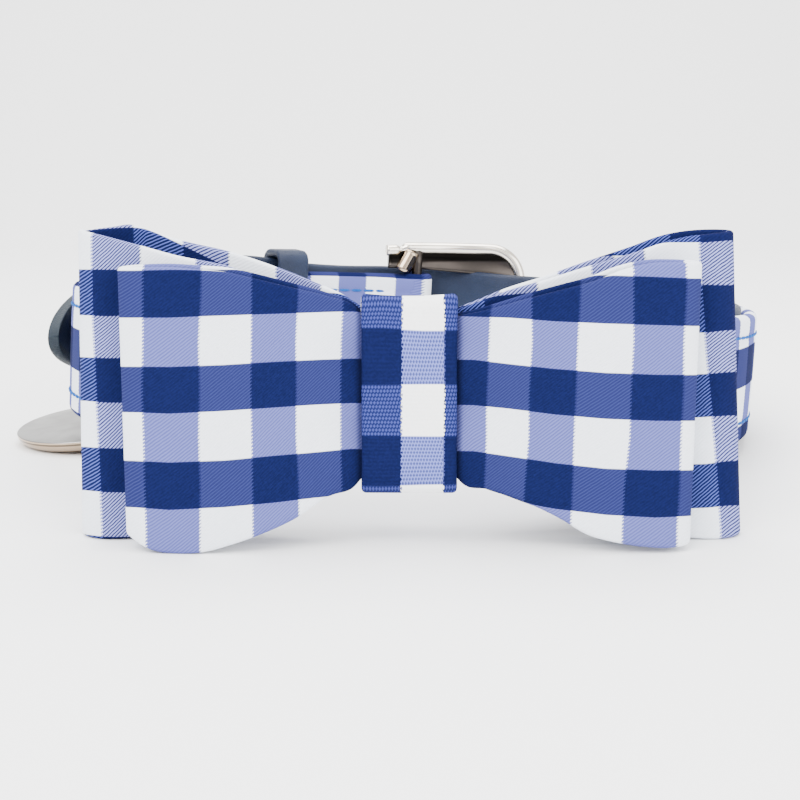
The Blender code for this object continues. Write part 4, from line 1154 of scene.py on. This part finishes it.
all_points, all_faces, count = [], [], 0
outside = np.arange(HEEL - LOOP + 9, END - 1, STITCH_PITCH)
inside_at = np.arange(HEEL - LOOP + 9, at_angle(60), STITCH_PITCH)
for places, out in ((outside, BAND_WALL / 2 + 0.02), (inside_at, -BAND_WALL / 2 - 0.02)):
    for up in (STITCH_IN, BAND_WIDTH - STITCH_IN):
        points, faces = stitch_row(places, out, up, STITCH_PITCH * 0.84, 0.31)
        all_points += points
        all_faces += [tuple(f + count for f in face) for face in faces]
        count += sum(len(p) for p in points)
stitches = mesh_object("band_stitches", np.concatenate(all_points), all_faces)
dress(thread, stitches)
print("stitches:", len(outside) * 2 + len(inside_at) * 2)

# %% [markdown]
# ## Floor and light
# A pale floor that curves up behind, one large soft light above and to the front left, a fill from
# the right and a bright world.

# %% Studio
HALF_FLOOR, BEND_AT, BEND, WORLD_LIGHT = 3000, 500, 400, 1.8
bend = np.linspace(0, math.pi / 2, 16)[1:]
y = np.concatenate([np.linspace(-HALF_FLOOR, BEND_AT, 12), BEND_AT + BEND * np.sin(bend)])
z = np.concatenate([np.zeros(12), BEND * (1 - np.cos(bend))])
x = np.linspace(-HALF_FLOOR, HALF_FLOOR, 8)
sweep = np.stack(np.broadcast_arrays(x[:, None], y[None], z[None]), axis=-1)
floor = grid_object("floor", sweep - np.array([0, 0, SHIFT[2] + 0.02]))
paper = Nodes("paper", roughness=0.7)
tone = paper.noise(4.0, 2.0)
grey = paper.mix(tone, (0.93, 0.93, 0.93, 1), (0.96, 0.96, 0.96, 1))
dress(paper.feed(Base_Color=grey), floor)

world = bpy.data.worlds.new("studio")
world.use_nodes = True
world.node_tree.nodes["Background"].inputs[0].default_value = (1, 1, 1, 1)
world.node_tree.nodes["Background"].inputs[1].default_value = WORLD_LIGHT
scene.world = world


def soft_light(name, at, size, power):
    """A square light that faces the bow."""
    data = bpy.data.lights.new(name, "AREA")
    data.shape, data.size, data.energy = "SQUARE", size, power
    lamp = bpy.data.objects.new(name, data)
    scene.collection.objects.link(lamp)
    lamp.location = to_metres(at)
    way = (to_metres((0, 40, 20)) - np.array(lamp.location))
    lamp.rotation_euler = Vector(way).to_track_quat("-Z", "Y").to_euler()
    return lamp


soft_light("key", (-350, -450, 620), 0.6, 13.0)
soft_light("fill", (520, -350, 300), 0.7, 6.5)
soft_light("top", (0, 250, 700), 0.6, 10.0)
print("studio set")

# %% [markdown]
# ## Ride and replace
# Every piece rides on the part's one body and stands for its solid.

# %% Hand over
CLOTH, LEATHER, METAL = "gingham", "navy_leather", "nickel"
pieces = (
    (front_bow, CLOTH, ["front_bow"]),
    (rear_bow, CLOTH, ["rear_bow"]),
    (knot, CLOTH, ["knot"]),
    (band, "band_cloth", ["collar_band"]),
    (folds[0], "band_cloth", []),
    (folds[1], "band_cloth", []),
    (stitches, "band_cloth", []),
    (billet, LEATHER, ["billet"]),
    (keeper, LEATHER, ["keeper"]),
    (buckle, METAL, ["buckle_frame"]),
    (bar, METAL, []),
    (neck, METAL, []),
    (flange, METAL, []),
    (tongue, METAL, ["buckle_prong"]),
    (eye, METAL, []),
    (d_ring, METAL, ["d_ring"]),
    (split, METAL, ["split_ring"]),
    (disc, METAL, ["id_disc"]),
)
for item, slot, nodes_replaced in pieces:
    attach(item, "root")
    if nodes_replaced:
        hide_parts(*nodes_replaced)

print("handed over:", len(pieces), "pieces")
